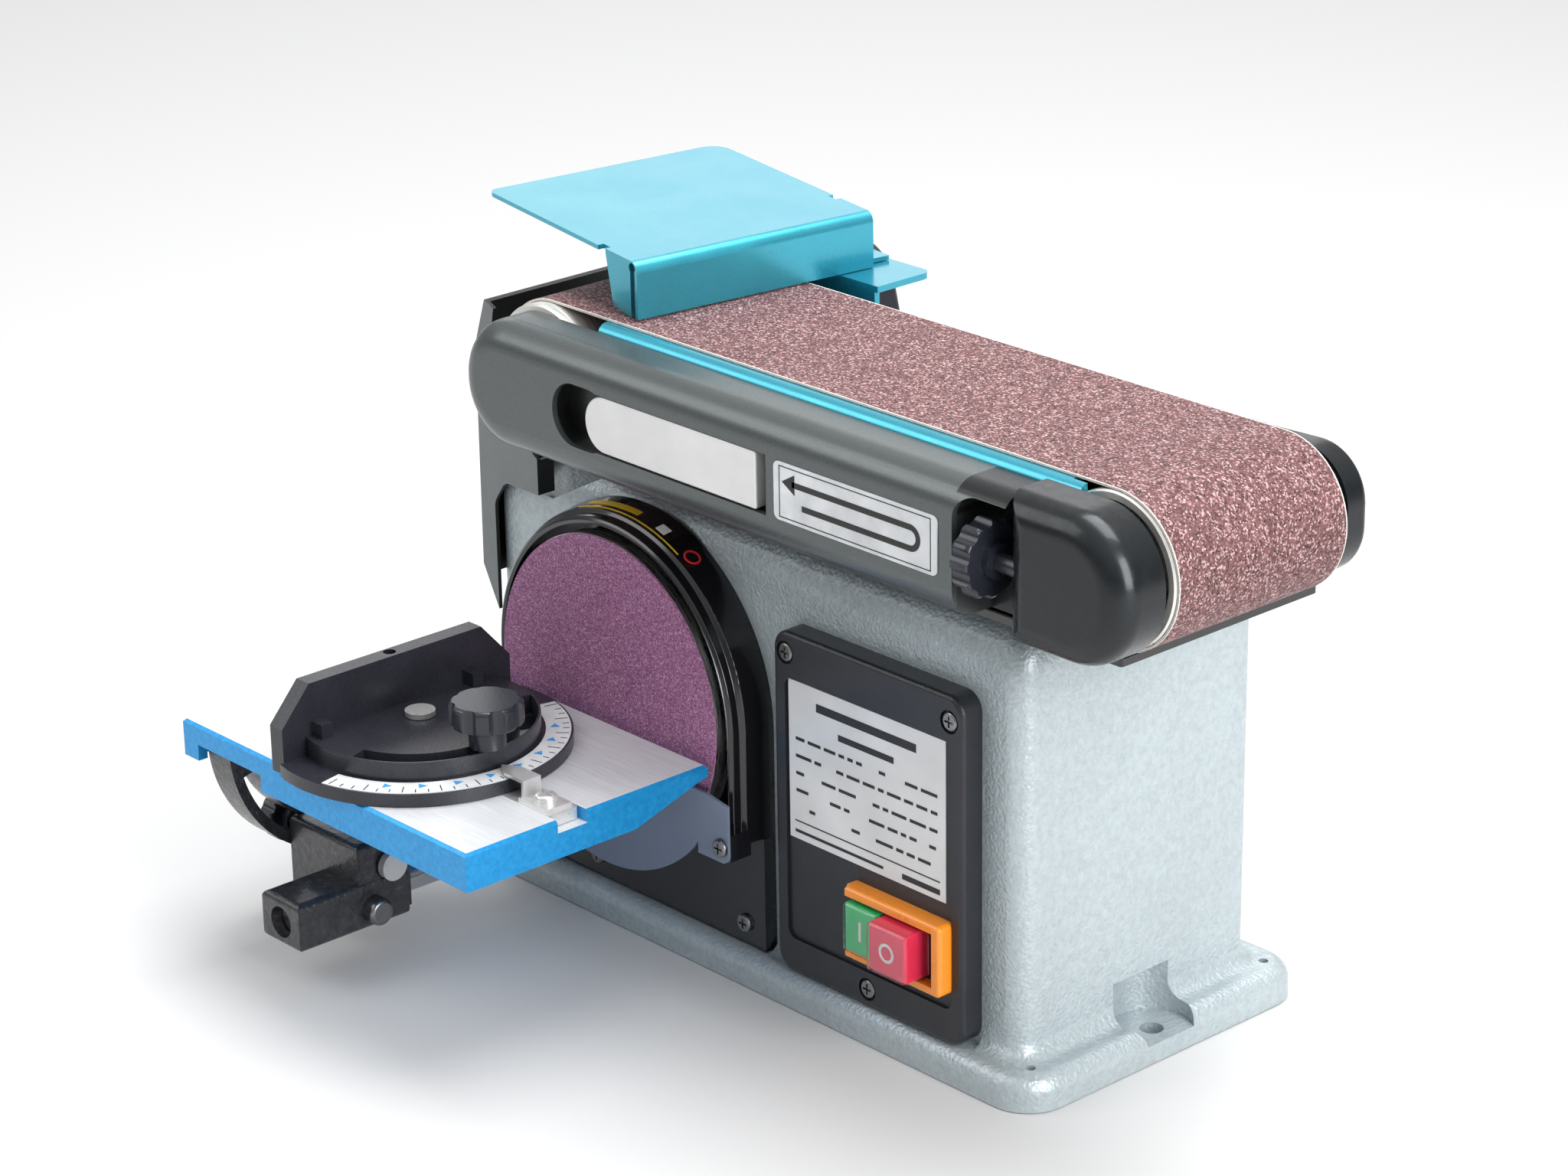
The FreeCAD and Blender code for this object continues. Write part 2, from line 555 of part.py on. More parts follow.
def arm_frame():
    n = Node("arm_frame", (0.0, 0.0, D.axis_z))
    n.pad("XZ", [rect(D.drive_x, 225.0, -20.0, 16.5, 3.0)], 13.3, 19.0)
    n.cyl("Y", D.drive_x, 0.0, 36.0, 13.3, 22.7)
    n.box(-62.0, 172.0, -99.7, 14.0, -16.5, 16.5)
    n.box(-58.0, 168.0, -95.7, 9.0, -12.5, 20.0, cut=True)
    n.box(86.0, 90.0, -96.0, 9.5, -13.0, 16.5)
    n.box(120.0, 168.5, -66.0, -60.0, -13.0, 8.0)
    n.box(120.0, 168.5, -30.0, -24.0, -13.0, 8.0)
    n.box(160.0, 180.0, -59.5, -30.5, -12.0, 12.0, cut=True)
    n.cyl("Y", D.drive_x, 0.0, D.spigot_rad + D.run_gap, 12.0, 24.0, cut=True)


def platen():
    n = Node("platen", (0.0, 0.0, D.axis_z))
    top = D.belt_in - 0.2
    n.pad("YZ", [[(-99.7, 16.5), (-99.7, top, 5.0), (13.0, top, 5.0), (13.0, 16.5),
                  (10.5, 16.5), (10.5, top - 2.5, 2.5), (-97.2, top - 2.5, 2.5), (-97.2, 16.5)]],
          -67.5, 221.0)
    n.pad("YZ", [[(-99.7, 16.5), (-99.7, top, 4.2), (-95.2, top), (-95.2, 16.5)]], 220.5, 229.0)
    n.pad("YZ", [[(8.3, 16.5), (8.3, top), (13.0, top, 4.2), (13.0, 16.5)]], 220.5, 229.0)


def sanding_belt():
    n = Node("sanding_belt", (0.0, D.belt_near, D.axis_z))
    x0, x1 = D.drive_x, D.idler_x
    inner, outer = D.belt_in, D.belt_in + D.belt_thk

    def ring(r):
        return [(x0 - r, -r, r - 0.001), (x1 + r, -r, r - 0.001), (x1 + r, r, r - 0.001), (x0 - r, r, r - 0.001)]
    n.pad("XZ", [ring(outer), ring(inner)], 0.0, D.belt_wid)


def side_cover():
    n = Node("side_cover", (0.0, 0.0, D.axis_z))
    half = D.cover_half
    front = D.cover_front
    n.pad("XZ", [[(D.drive_x - half, -half, 29.5), (211.0, -half, 0.0), (211.0, half, 0.0),
                  (D.drive_x - half, half, 29.5)]], front, -100.0)
    n.fillet(13.0, lambda e: flat_at(e, "y", front) and not flat_at(e, "x", 211.0))
    n.pad("XZ", [[(D.drive_x - half + 3, -half + 3, 26.0), (176.0, -half + 3, 4.0),
                  (176.0, half - 3, 4.0), (D.drive_x - half + 3, half - 3, 26.0)]],
          -113.0, -99.0, cut=True)
    n.pad("XZ", [rect(84.0, 176.0, -17.0, 17.0, 4.0)], -123.0, -112.0, cut=True)
    # tension lever recess, its finger hollow and the slot behind its pivot end
    n.pad("XZ", [[(-52.0, -13.6, 13.4), (72.0, -13.6, 1.5), (72.0, 13.6, 1.5), (-52.0, 13.6, 13.4)]],
          -130.0, -118.6, cut=True)
    n.pad("XZ", [rect(-69.0, -30.0, -14.6, 14.6, 14.4)], -130.0, -116.0, cut=True)
    n.box(44.0, 72.0, -130.0, -105.0, -13.6, 13.6, cut=True)
    # tracking knob pocket, open below
    n.pad("XZ", [[(183.5, -40.0, 0.0), (220.0, -40.0, 0.0), (220.0, 25.0, 0.0), (183.5, 25.0, 11.0)]],
          -145.0, -103.0, cut=True)
    n.cyl("Z", 57.0, -117.0, 3.0, -19.0, 19.0, cut=True)
    for x in COVER_LUGS:
        n.cyl("Y", x, 0.0, 5.0, -113.5 if x < 0 else -124.0, -100.0)
        n.cyl("Y", x, 0.0, 2.0, -112.0, -99.0, cut=True)


COVER_LUGS = [-20.0, 130.0]


def idler_cap():
    n = Node("idler_cap", (0.0, 0.0, D.axis_z))
    n.pad("XZ", [[(211.3, -33.0, 0.0), (276.5, -33.0, 31.0), (276.5, 32.0, 31.0), (211.3, 32.0, 0.0)]],
          D.cover_front, -100.0)
    n.fillet(12.0, lambda e: flat_at(e, "y", D.cover_front))
    n.pad("XZ", [rect(214.3, 273.0, -29.5, 28.5, 26.0)], -117.0, -99.0, cut=True)
    n.pad("XZ", [rect(225.0, 262.0, -18.0, 17.0, 14.0)], -122.5, -110.0, cut=True)
    n.cyl("X", -120.0, 0.0, 4.2, 205.0, 226.0, cut=True)


def arm_trim():
    n = Node("far_cover", (0.0, 0.0, D.axis_z))
    n.pad("XZ", [[(150.0, -26.0, 8.0), (272.0, -30.0, 24.0), (272.0, 29.0, 24.0), (150.0, 24.0, 8.0)]],
          13.3, 27.0)
    n.fillet(4.5, lambda e: flat_at(e, "y", 27.0))
    n.pad("XZ", [[(153.0, -22.5, 5.0), (269.0, -26.5, 25.0), (269.0, 26.0, 25.0), (153.0, 21.0, 5.0)]],
          12.0, 24.5, cut=True)
    n.box(148.0, 154.0, 12.0, 19.2, -20.4, 16.9, cut=True)
    n = Node("belt_guard", (0.0, 0.0, D.axis_z))
    n.box(-44.0, 250.5, -97.0, 21.0, -39.0, -37.0)
    n.box(248.5, 250.5, -97.0, 21.0, -39.0, -35.6)
    n.box(-44.0, 250.5, -97.0, -95.0, -39.0, -35.6)
    n.box(-44.0, 148.0, 19.0, 21.0, -39.0, -10.0)
    n.fillet(1.5, lambda e: along(e, "z") and near(e.BoundBox.XMax, 250.5))
    n.pad("XZ", [], 18.0, 22.0, cut=True, circles=[(x, -15.5, 2.5) for x in GUARD_BOLTS])
    Node("direction_plate", (0.0, 0.0, D.axis_z)).pad(
        "XZ", [rect(77.5, 175.5, -13.0, 13.0, 3.0)], D.cover_front - 0.5, D.cover_front)


GUARD_BOLTS = [4.0, 110.0]


def tension_lever():
    n = Node("tension_lever", (57.0, -117.0, D.axis_z))
    n.pad("XZ", [[(-104.0, -13.0, 12.9), (8.0, -13.0, 1.0), (8.0, 13.0, 1.0), (-104.0, 13.0, 12.9)]],
          -8.6, -3.0)
    n.fillet(0.8, lambda e: flat_at(e, "y", -8.6))
    n.box(-6.0, 6.0, -4.0, 0.0, -13.0, 13.0)
    n.cyl("Z", 0.0, 0.0, 6.0, -13.0, 13.0)
    n.cyl("Z", 0.0, 0.0, 3.0 + D.run_gap, -14.0, 14.0, cut=True)
    Node("lever_pin", (57.0, -117.0, D.axis_z)).cyl("Z", 0.0, 0.0, 3.0, -18.5, 18.5)


def lobed_knob(label, at, axis, r, lobes, a0, a1, bore=None, collar=None):
    """A star knob: a turned disc with flutes cut round its rim."""
    n = Node(label, at)
    n.cyl(axis, 0.0, 0.0, r, a0, a1)
    n.fillet(2.2, lambda e: round_edge(e, axis.lower(), a0) or round_edge(e, axis.lower(), a1))
    flutes = []
    for i in range(lobes):
        turn = 2 * math.pi * (i + 0.5) / lobes
        flutes.append(((r + 1.9) * math.cos(turn), (r + 1.9) * math.sin(turn), 4.6 * r / 18))
    plane = {"X": "YZ", "Z": "XY"}[axis]
    n.pad(plane, [], a0 - 1, a1 + 1, cut=True, circles=flutes)
    if collar:
        n.cyl(axis, 0.0, 0.0, collar[0], collar[1], collar[2])
    if bore:
        n.cyl(axis, 0.0, 0.0, bore, min(a0, collar[1] if collar else a0) - 1, a1 - 3.5, cut=True)
    elif collar:
        n.cyl(axis, 0.0, 0.0, 4.0, -207.0, -190.0, cut=True)
    return n


def tracking():
    n = lobed_knob("tracking_knob", (0.0, -120.0, D.axis_z), "X", 17.0, 12, 192.0, 202.0)
    n.cyl("X", 0.0, 0.0, 7.5, 202.0, 205.0)
    n.cyl("X", 0.0, 0.0, 4.0, 205.0, 224.0)


def idler():
    n = Node("idler_yoke", (0.0, 0.0, D.axis_z))
    n.box(122.0, 188.0, -58.0, -32.0, -9.0, 7.6)
    n.box(186.0, 200.0, -99.2, 12.6, -12.0, 12.0)
    n.pad("XZ", [[(198.0, -12.0, 0.0), (256.0, -12.0, 11.9), (256.0, 12.0, 11.9), (198.0, 12.0, 0.0)]],
          -99.2, -95.4)
    n.pad("XZ", [[(198.0, -12.0, 0.0), (256.0, -12.0, 11.9), (256.0, 12.0, 11.9), (198.0, 12.0, 0.0)]],
          8.6, 12.6)
    n.cyl("Y", D.idler_x, 0.0, D.axle_rad, -100.0, 13.5, cut=True)
    at = (D.idler_x, 0.0, D.axis_z)
    n = Node("idler_axle", at).cyl("Y", 0.0, 0.0, D.axle_rad, -99.2, 12.6)
    r = D.drum_rad
    Node("idler_drum", at).spin("Y", [
        (15.0, -88.0), (18.0, -88.0), (18.0, -60.0), (r - 3.6, -60.0), (r - 3.6, -94.5),
        (r - 0.8, -94.5), (r, -93.7), (r, 6.7), (r - 0.8, 7.5), (r - 3.6, 7.5), (r - 3.6, -30.0),
        (18.0, -30.0), (18.0, 2.0), (15.0, 2.0), (15.0, -9.0), (9.0, -9.0), (9.0, -77.0), (15.0, -77.0)])
    n = Node("idler_bearings", at)
    for y in (-88.0, -9.0):
        n.spin("Y", [(D.axle_rad + D.run_gap, y), (15.0, y), (15.0, y + 11), (D.axle_rad + D.run_gap, y + 11)])
    n = Node("tension_spring", (0.0, -45.0, D.axis_z))
    n.cyl("X", 0.0, -1.0, 6.5, 90.2, 121.8)
    n.cyl("X", 0.0, -1.0, 4.5, 90.0, 122.0, cut=True)


# ---------------------------------------------------------------- work stop

def work_stop():
    at = (-54.0, -87.4, 330.0)
    n = Node("work_stop", at, yaw=D.stop_yaw)
    length, width, drop = D.stop_len, D.stop_wid, D.stop_drop
    n.pad("XZ", [[(-length, D.stop_rise - 2), (-4.0, -2.0), (-2.0, -4.0), (-2.0, -drop), (0.0, -drop),
                  (0.0, 0.0, 5.0), (-length, D.stop_rise)]], 0.0, width)
    for y in (-1.0, width - 3):
        n.box(-31.0, -25.0, y, y + 4, -2.0, 4.0, cut=True)
    n.pad("XZ", [[(-25.0, -1.0, 0.0), (-5.5, -1.0, 0.0), (-5.5, -drop, 0.0), (-20.0, 2 - drop, 4.0)]],
          0.0, 2.0)
    n.pad("XZ", [[(-25.0, -1.0, 0.0), (-5.5, -1.0, 0.0), (-5.5, -drop, 0.0), (-44.0, -drop, 0.0), (-44.0, -8.0, 4.0)]],
          width - 2, width)
    n.box(-44.0, -5.5, width - 3.0, width + 13.0, -drop, 2.0 - drop)
    n.cyl("Y", -4.0, -3.0, 2.4, -1.0, 3.5, cut=True)
    n.cyl("Z", -24.0, width + 6.5, 3.1, -40.0, -10.0, cut=True)
    n.fillet(10.0, lambda e: along(e, "z") and e.Length < 2.5 and near(e.BoundBox.XMin, -length)
             and near(e.BoundBox.YMin, width))
    n.fillet(5.0, lambda e: along(e, "z") and e.Length < 2.5 and near(e.BoundBox.XMin, -length)
             and near(e.BoundBox.YMin, 0.0))
    n = Node("stop_bracket")
    n.box(-74.0, -18.0, 22.8, 25.8, 252.0, 303.6)
    n.box(-74.0, -16.0, 22.8, 57.0, 300.6, 303.6)
    n.fillet(5.0, lambda e: along(e, "z") and near(e.BoundBox.YMax, 57.0))
    for x in BRACKET_BOLTS:
        n.cyl("Y", x, 266.0, 6.0, 19.0, 23.5)
    n.pad("XZ", [], 18.0, 30.0, cut=True, circles=[(x, 266.0, 3.0) for x in BRACKET_BOLTS])
    n.cyl("Z", STOP_PIVOT[0], STOP_PIVOT[1], 3.0, 299.0, 305.0, cut=True)


BRACKET_BOLTS = [-64.0, -28.0]
STOP_TURN = math.radians(-6.8)
STOP_PIVOT = (-54.0 - 24.0 * math.cos(STOP_TURN) - 136.5 * math.sin(STOP_TURN),
              -87.4 - 24.0 * math.sin(STOP_TURN) + 136.5 * math.cos(STOP_TURN))


def stop_bolts():
    n = Node("stop_screw", (STOP_PIVOT[0], STOP_PIVOT[1], 0.0))
    n.cyl("Z", 0.0, 0.0, 3.0, 296.0, 306.4)
    n.cyl("Z", 0.0, 0.0, 5.6, 306.4, 307.8)
    n.pad("XY", [[(5.2 * math.cos(math.radians(60 * i)), 5.2 * math.sin(math.radians(60 * i)))
                  for i in range(6)]], 307.8, 312.0)
    n = Node("arm_bolts")
    for x, y0, z in [(x, 25.8, 266.0) for x in BRACKET_BOLTS]:
        n.cyl("Y", x, z, 3.0, 19.0, y0)
        n.cyl("Y", x, z, 5.5, y0, y0 + 4)
    for x in GUARD_BOLTS:
        n.cyl("Y", x, D.axis_z - 15.5, 2.5, 19.0, 21.0)
        n.cyl("Y", x, D.axis_z - 15.5, 5.0, 21.0, 24.0)


# ---------------------------------------------------------------- dust hood

def dust_hood():
    n = Node("dust_hood")
    n.pad("XZ", [[(-162.0, 280.0), (-174.0, 285.5), (-182.0, 262.0), (-182.7, 152.0), (-171.0, 129.5), (-139.0, 129.5),
                  (-139.0, 270.0)]], -80.0, 21.5)
    n.pad("XZ", [[(-169.5, 292.0), (-171.9, 285.0), (-180.0, 261.5), (-180.7, 152.0), (-176.0, 110.0),
                  (-130.0, 110.0), (-130.0, 292.0)]], -78.0, 19.5, cut=True)
    n.pad("XZ", [[(-172.0, 120.0), (-172.0, 186.0, 8.0), (-164.0, 197.5, 6.0), (-120.0, 197.5), (-120.0, 120.0)]],
          -81.0, -77.0, cut=True)
    n.box(-178.4, -120.0, 10.0, 30.0, 100.0, 218.0, cut=True)
    n.box(-179.5, -120.0, -77.0, 30.0, 100.0, 150.0, cut=True)
    n.cyl("Y", D.drive_x, D.axis_z, 62.0, -90.0, 40.0, cut=True)
    n.box(-141.0, -139.0, -80.0, -70.0, 197.5, 214.6)
    n.cyl("X", -25.0, 226.0, 26.0, -212.0, -181.0)
    n.cyl("X", -25.0, 226.0, 23.5, -213.0, -176.0, cut=True)
    for y in HOOD_SCREWS:
        n.cyl("X", y, 160.0, 6.0, -181.5, -178.0)
        n.cyl("X", y, 160.0, 2.5, -184.0, -177.0, cut=True)


# ---------------------------------------------------------------- table

def table():
    n = Node("table", (0.0, D.tilt_y, D.tilt_z))
    x0, x1 = D.table_left, D.table_left + D.table_len
    y0, y1 = D.table_front - D.tilt_y, D.table_front - D.tilt_y + D.table_dep
    top = D.table_top - D.tilt_z
    under = top - D.table_thk
    n.box(x0, x1, y0, y1, under, top)
    n.box(x0, x1, y0, y0 + 5, -9.0, top)
    n.box(x0, x0 + 5, y0, y1 - 20, -9.0, top)
    n.pad("YZ", [[(y0, -9.0), (-75.0 + 95.0, -9.0), (y1 - 3, under), (y1, top - 1), (y0, top - 1)]], x1 - 5, x1)
    n.pad("YZ", [[(y1 - 24, -9.0), (y1 - 3, under + 1), (y1 - 24, under + 1)]], x0, x0 + 5)
    mid = D.slot_y - D.tilt_y
    n.box(x0 + 1, x1 - 1, mid - 14, mid + 14, -4.0, under + 1)
    n.box(-195.0, -146.0, y0 - 1, y0 + 6, -10.0, -1.0, cut=True)
    n.box(x0 - 1, x1 + 1, mid - D.slot_wid / 2, mid + D.slot_wid / 2, under, top + 1, cut=True)
    n.chamfer(1.4, lambda e: flat_at(e, "z", top) and e.Length > 5 and (
        flat_at(e, "y", y0) or flat_at(e, "x", x0) or flat_at(e, "x", x1) or flat_at(e, "y", y1)))


def sector(r0, r1, a0, a1):
    """Corner points of a ring sector drawn with fine chords, in degrees."""
    steps = max(6, int((a1 - a0) / 4))
    outer = [(r1 * math.cos(math.radians(a0 + (a1 - a0) * i / steps)),
              r1 * math.sin(math.radians(a0 + (a1 - a0) * i / steps))) for i in range(steps + 1)]
    inner = [(r0 * math.cos(math.radians(a1 - (a1 - a0) * i / steps)),
              r0 * math.sin(math.radians(a1 - (a1 - a0) * i / steps))) for i in range(steps + 1)]
    return outer + inner


def trunnion():
    n = Node("trunnion", (0.0, D.tilt_y, D.tilt_z))
    n.cyl("X", 0.0, 0.0, 69.0, -196.0, -179.0)
    n.cyl("X", 0.0, 0.0, 50.0, -201.0, -178.0, cut=True)
    n.box(-202.0, -178.0, -80.0, 80.0, -4.0, 80.0, cut=True)
    n.box(-202.0, -178.0, 45.0, 80.0, -30.0, 80.0, cut=True)
    n.box(-196.0, -179.0, -69.7, -49.0, -4.5, 2.9)
    n.box(-196.0, -179.0, 33.0, 50.0, -40.0, 2.9)
    n.pad("YZ", [sector(55.1, 63.9, 195.0, 258.0)], -198.0, -170.0, cut=True)


def carriage():
    n = Node("table_carriage", (D.rod_x, 0.0, D.rod_z))
    n.box(-14.0, 14.0, -239.0, -176.0, -12.0, 12.0)
    n.fillet(3.5, lambda e: along(e, "y") or flat_at(e, "y", -239.0) and along(e, "x"))
    n.box(-38.7, 13.0, -204.0, -174.0, -8.0, 30.0)
    n.fillet(3.0, lambda e: flat_at(e, "z", 30.0))
    n.cyl("Y", 0.0, 0.0, D.rod_rad + D.run_gap, -240.0, -170.0, cut=True)
    n.cyl("X", LOCK_YZ[0], LOCK_YZ[1] - num(D.rod_z), 4.05, -40.0, 14.0, cut=True)
    n.cyl("X", -197.0, -2.0, 3.0, 0.0, 15.0, cut=True)
    n = Node("rod_screw", (D.rod_x, 0.0, D.rod_z))
    n.cyl("X", -197.0, -2.0, 3.0, 7.9, 14.0)
    n.cyl("X", -197.0, -2.0, 6.5, 14.0, 22.0)
    n.fillet(2.0, lambda e: round_edge(e, "x", 22.0))
    n = Node("table_rod", (D.rod_x, 0.0, D.rod_z))
    n.cyl("Y", 0.0, 0.0, D.rod_rad, -233.0, -30.0)
    n.chamfer(1.0, lambda e: round_edge(e, "y", -233.0))
    n = Node("tilt_bolt", (0.0, LOCK_YZ[0], LOCK_YZ[1]))
    n.cyl("X", 0.0, 0.0, 4.0, -207.0, -124.5)
    n.cyl("X", 0.0, 0.0, 7.0, -125.5, -121.5)
    lobed_knob("tilt_knob", (0.0, LOCK_YZ[0], LOCK_YZ[1]), "X", 13.0, 6, -211.0, -201.0,
               bore=None, collar=(7.0, -201.5, -196.4))


LOCK_YZ = (-166.0 + 59.5 * math.cos(math.radians(250)), 103.0 + 59.5 * math.sin(math.radians(250)))


# ---------------------------------------------------------------- angle gauge

def gauge():
    at = (D.gauge_x, D.slot_y, D.table_top)
    n = Node("gauge_bar", at).box(-38.0, 101.0, -8.3, 8.3, -5.7, 0.0)
    n.chamfer(1.0, lambda e: along(e, "z"))
    n.cyl("Z", 0.0, 0.0, 4.0, -3.0, 15.6)
    n.cyl("Z", 0.0, 0.0, 7.0, 15.6, 18.0)
    n.cyl("Z", 49.0, 0.0, 4.0, -3.0, 31.0)
    n = Node("gauge_head", at)
    r = D.gauge_rad
    n.cyl("Z", 0.0, 0.0, r, 0.3, 6.3)
    n.cyl("Z", 0.0, 0.0, 54.5, 6.3, 15.3)
    n.box(-80.0, -16.0, -80.0, 80.0, -1.0, 20.0, cut=True)
    n.pad("YZ", [[(-65.0, 0.3), (65.0, 0.3), (65.0, 22.0), (49.0, 40.0), (-49.0, 40.0), (-65.0, 22.0)]],
          -26.0, -16.0)
    n.fillet(1.5, lambda e: near(e.BoundBox.XMin, -26.0) and near(e.BoundBox.XMax, -26.0)
             and e.BoundBox.ZMax > 5)
    n.pad("XY", [sector(44.6, 53.4, -72.0, 72.0)], 6.3, 16.0, cut=True)
    n.pad("XY", [sector(44.6, 53.4, -68.0, 68.0)], 0.0, 7.0, cut=True)
    n.cyl("Z", 0.0, 0.0, 4.0 + D.run_gap, 0.0, 16.0, cut=True)
    for y in (-46.0, 40.0):
        n.box(-16.5, -8.0, y - 3.0, y + 3.0, 6.0, 22.0)
    n.cyl("Z", -21.0, 0.0, 3.0, 30.0, 41.0, cut=True)
    n = Node("gauge_scale", at)
    n.pad("XY", [sector(56.5, 68.0, -78.0, 78.0)], 6.3, 6.7)
    n = lobed_knob("gauge_knob", (D.gauge_x + 49, D.slot_y, D.table_top), "Z", 16.8, 8, 26.0, 37.5,
                   bore=4.05, collar=(8.5, 15.7, 26.5))
    n = Node("gauge_pointer", at)
    n.box(78.0, 98.0, -7.0, 7.0, 0.0, 1.5)
    n.box(78.0, 79.5, -5.0, 5.0, 0.0, 9.0)
    n.pad("XY", [[(58.0, 0.0), (66.0, -5.0), (79.5, -5.0), (79.5, 5.0), (66.0, 5.0)]], 7.6, 9.0)
    n = Node("pointer_screw", at)
    n.cyl("Z", 89.0, 0.0, 5.0, 1.5, 4.8)
    n.fillet(1.8, lambda e: round_edge(e, "z", 4.8))
    n.box(88.4, 89.6, -3.4, 3.4, 3.6, 5.0, cut=True)
    n.box(85.6, 92.4, -0.6, 0.6, 3.6, 5.0, cut=True)


def fasteners():
    screw_set("panel_screws", [("Y", x, z, -85.0) for x, z in PANEL_SCREWS])
    disc_x, disc_z = num(D.disc_x), num(D.disc_z)
    places = [("Y", x, z, -82.0) for x, z in GUARD_SCREWS]
    places += [("Y", x * 1.086 + disc_x, z + disc_z, -103.8) for x, z in COVER_SCREWS]
    places += [("X", y, 160.0, -182.7) for y in HOOD_SCREWS]
    screw_set("sheet_screws", places)


def build():
    base_casting()
    motor()
    disc()
    disc_guard()
    disc_cover()
    switch_panel()
    switch()
    arm_post()
    drive_drum()
    drive_belt()
    pulley_case()
    arm_frame()
    platen()
    sanding_belt()
    side_cover()
    idler_cap()
    arm_trim()
    tension_lever()
    tracking()
    idler()
    work_stop()
    stop_bolts()
    dust_hood()
    table()
    trunnion()
    carriage()
    gauge()
    fasteners()
    doc.recompute()


def check_and_write():
    bad = ["%s (%s)" % (o.Name, o.getStatusString()) for o in doc.Objects
           if "Invalid" in o.State or "Error" in o.State]
    for node in NODES:
        shape = node.Shape
        if shape.isNull() or not shape.isValid() or not shape.Solids:
            bad.append(node.Label)
    if bad:
        raise RuntimeError("failed: " + ", ".join(bad))
    os.makedirs("parts", exist_ok=True)
    for node in NODES:
        node.Shape.exportStep(os.path.join("parts", node.Label + ".step"))
        print("%-18s solids %d volume %.1f cm3" % (node.Label, len(node.Shape.Solids), node.Shape.Volume / 1000))
    print(len(NODES), "nodes")


build()
check_and_write()
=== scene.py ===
"""Looks of the belt and disc bench sander: finishes, printed marks, springs, light and camera."""
import bpy
import bmesh
import math
import random
from mathutils import Matrix, Vector


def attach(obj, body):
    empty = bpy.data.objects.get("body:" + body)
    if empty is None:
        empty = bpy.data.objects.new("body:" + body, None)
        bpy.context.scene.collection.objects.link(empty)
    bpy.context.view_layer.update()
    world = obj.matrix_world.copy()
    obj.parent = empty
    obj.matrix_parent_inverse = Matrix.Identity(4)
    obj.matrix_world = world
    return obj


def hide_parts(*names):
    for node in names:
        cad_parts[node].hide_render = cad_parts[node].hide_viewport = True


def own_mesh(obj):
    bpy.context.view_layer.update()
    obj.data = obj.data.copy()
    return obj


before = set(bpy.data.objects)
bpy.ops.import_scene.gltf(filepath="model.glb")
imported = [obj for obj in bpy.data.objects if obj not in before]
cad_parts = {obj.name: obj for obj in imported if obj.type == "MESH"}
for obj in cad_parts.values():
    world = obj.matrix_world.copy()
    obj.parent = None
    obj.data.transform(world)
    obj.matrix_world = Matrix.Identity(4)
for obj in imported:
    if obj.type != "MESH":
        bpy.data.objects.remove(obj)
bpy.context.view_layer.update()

DISC = Vector((-0.069, 0.0, 0.125))
DRUM = Vector((-0.107, 0.0, 0.2685))
IDLER = Vector((0.2432, 0.0, 0.2685))
GAUGE = Vector((-0.103, -0.1815, 0.112))
BELT_MIDDLE = -0.0435


# ---------------------------------------------------------------- finishes

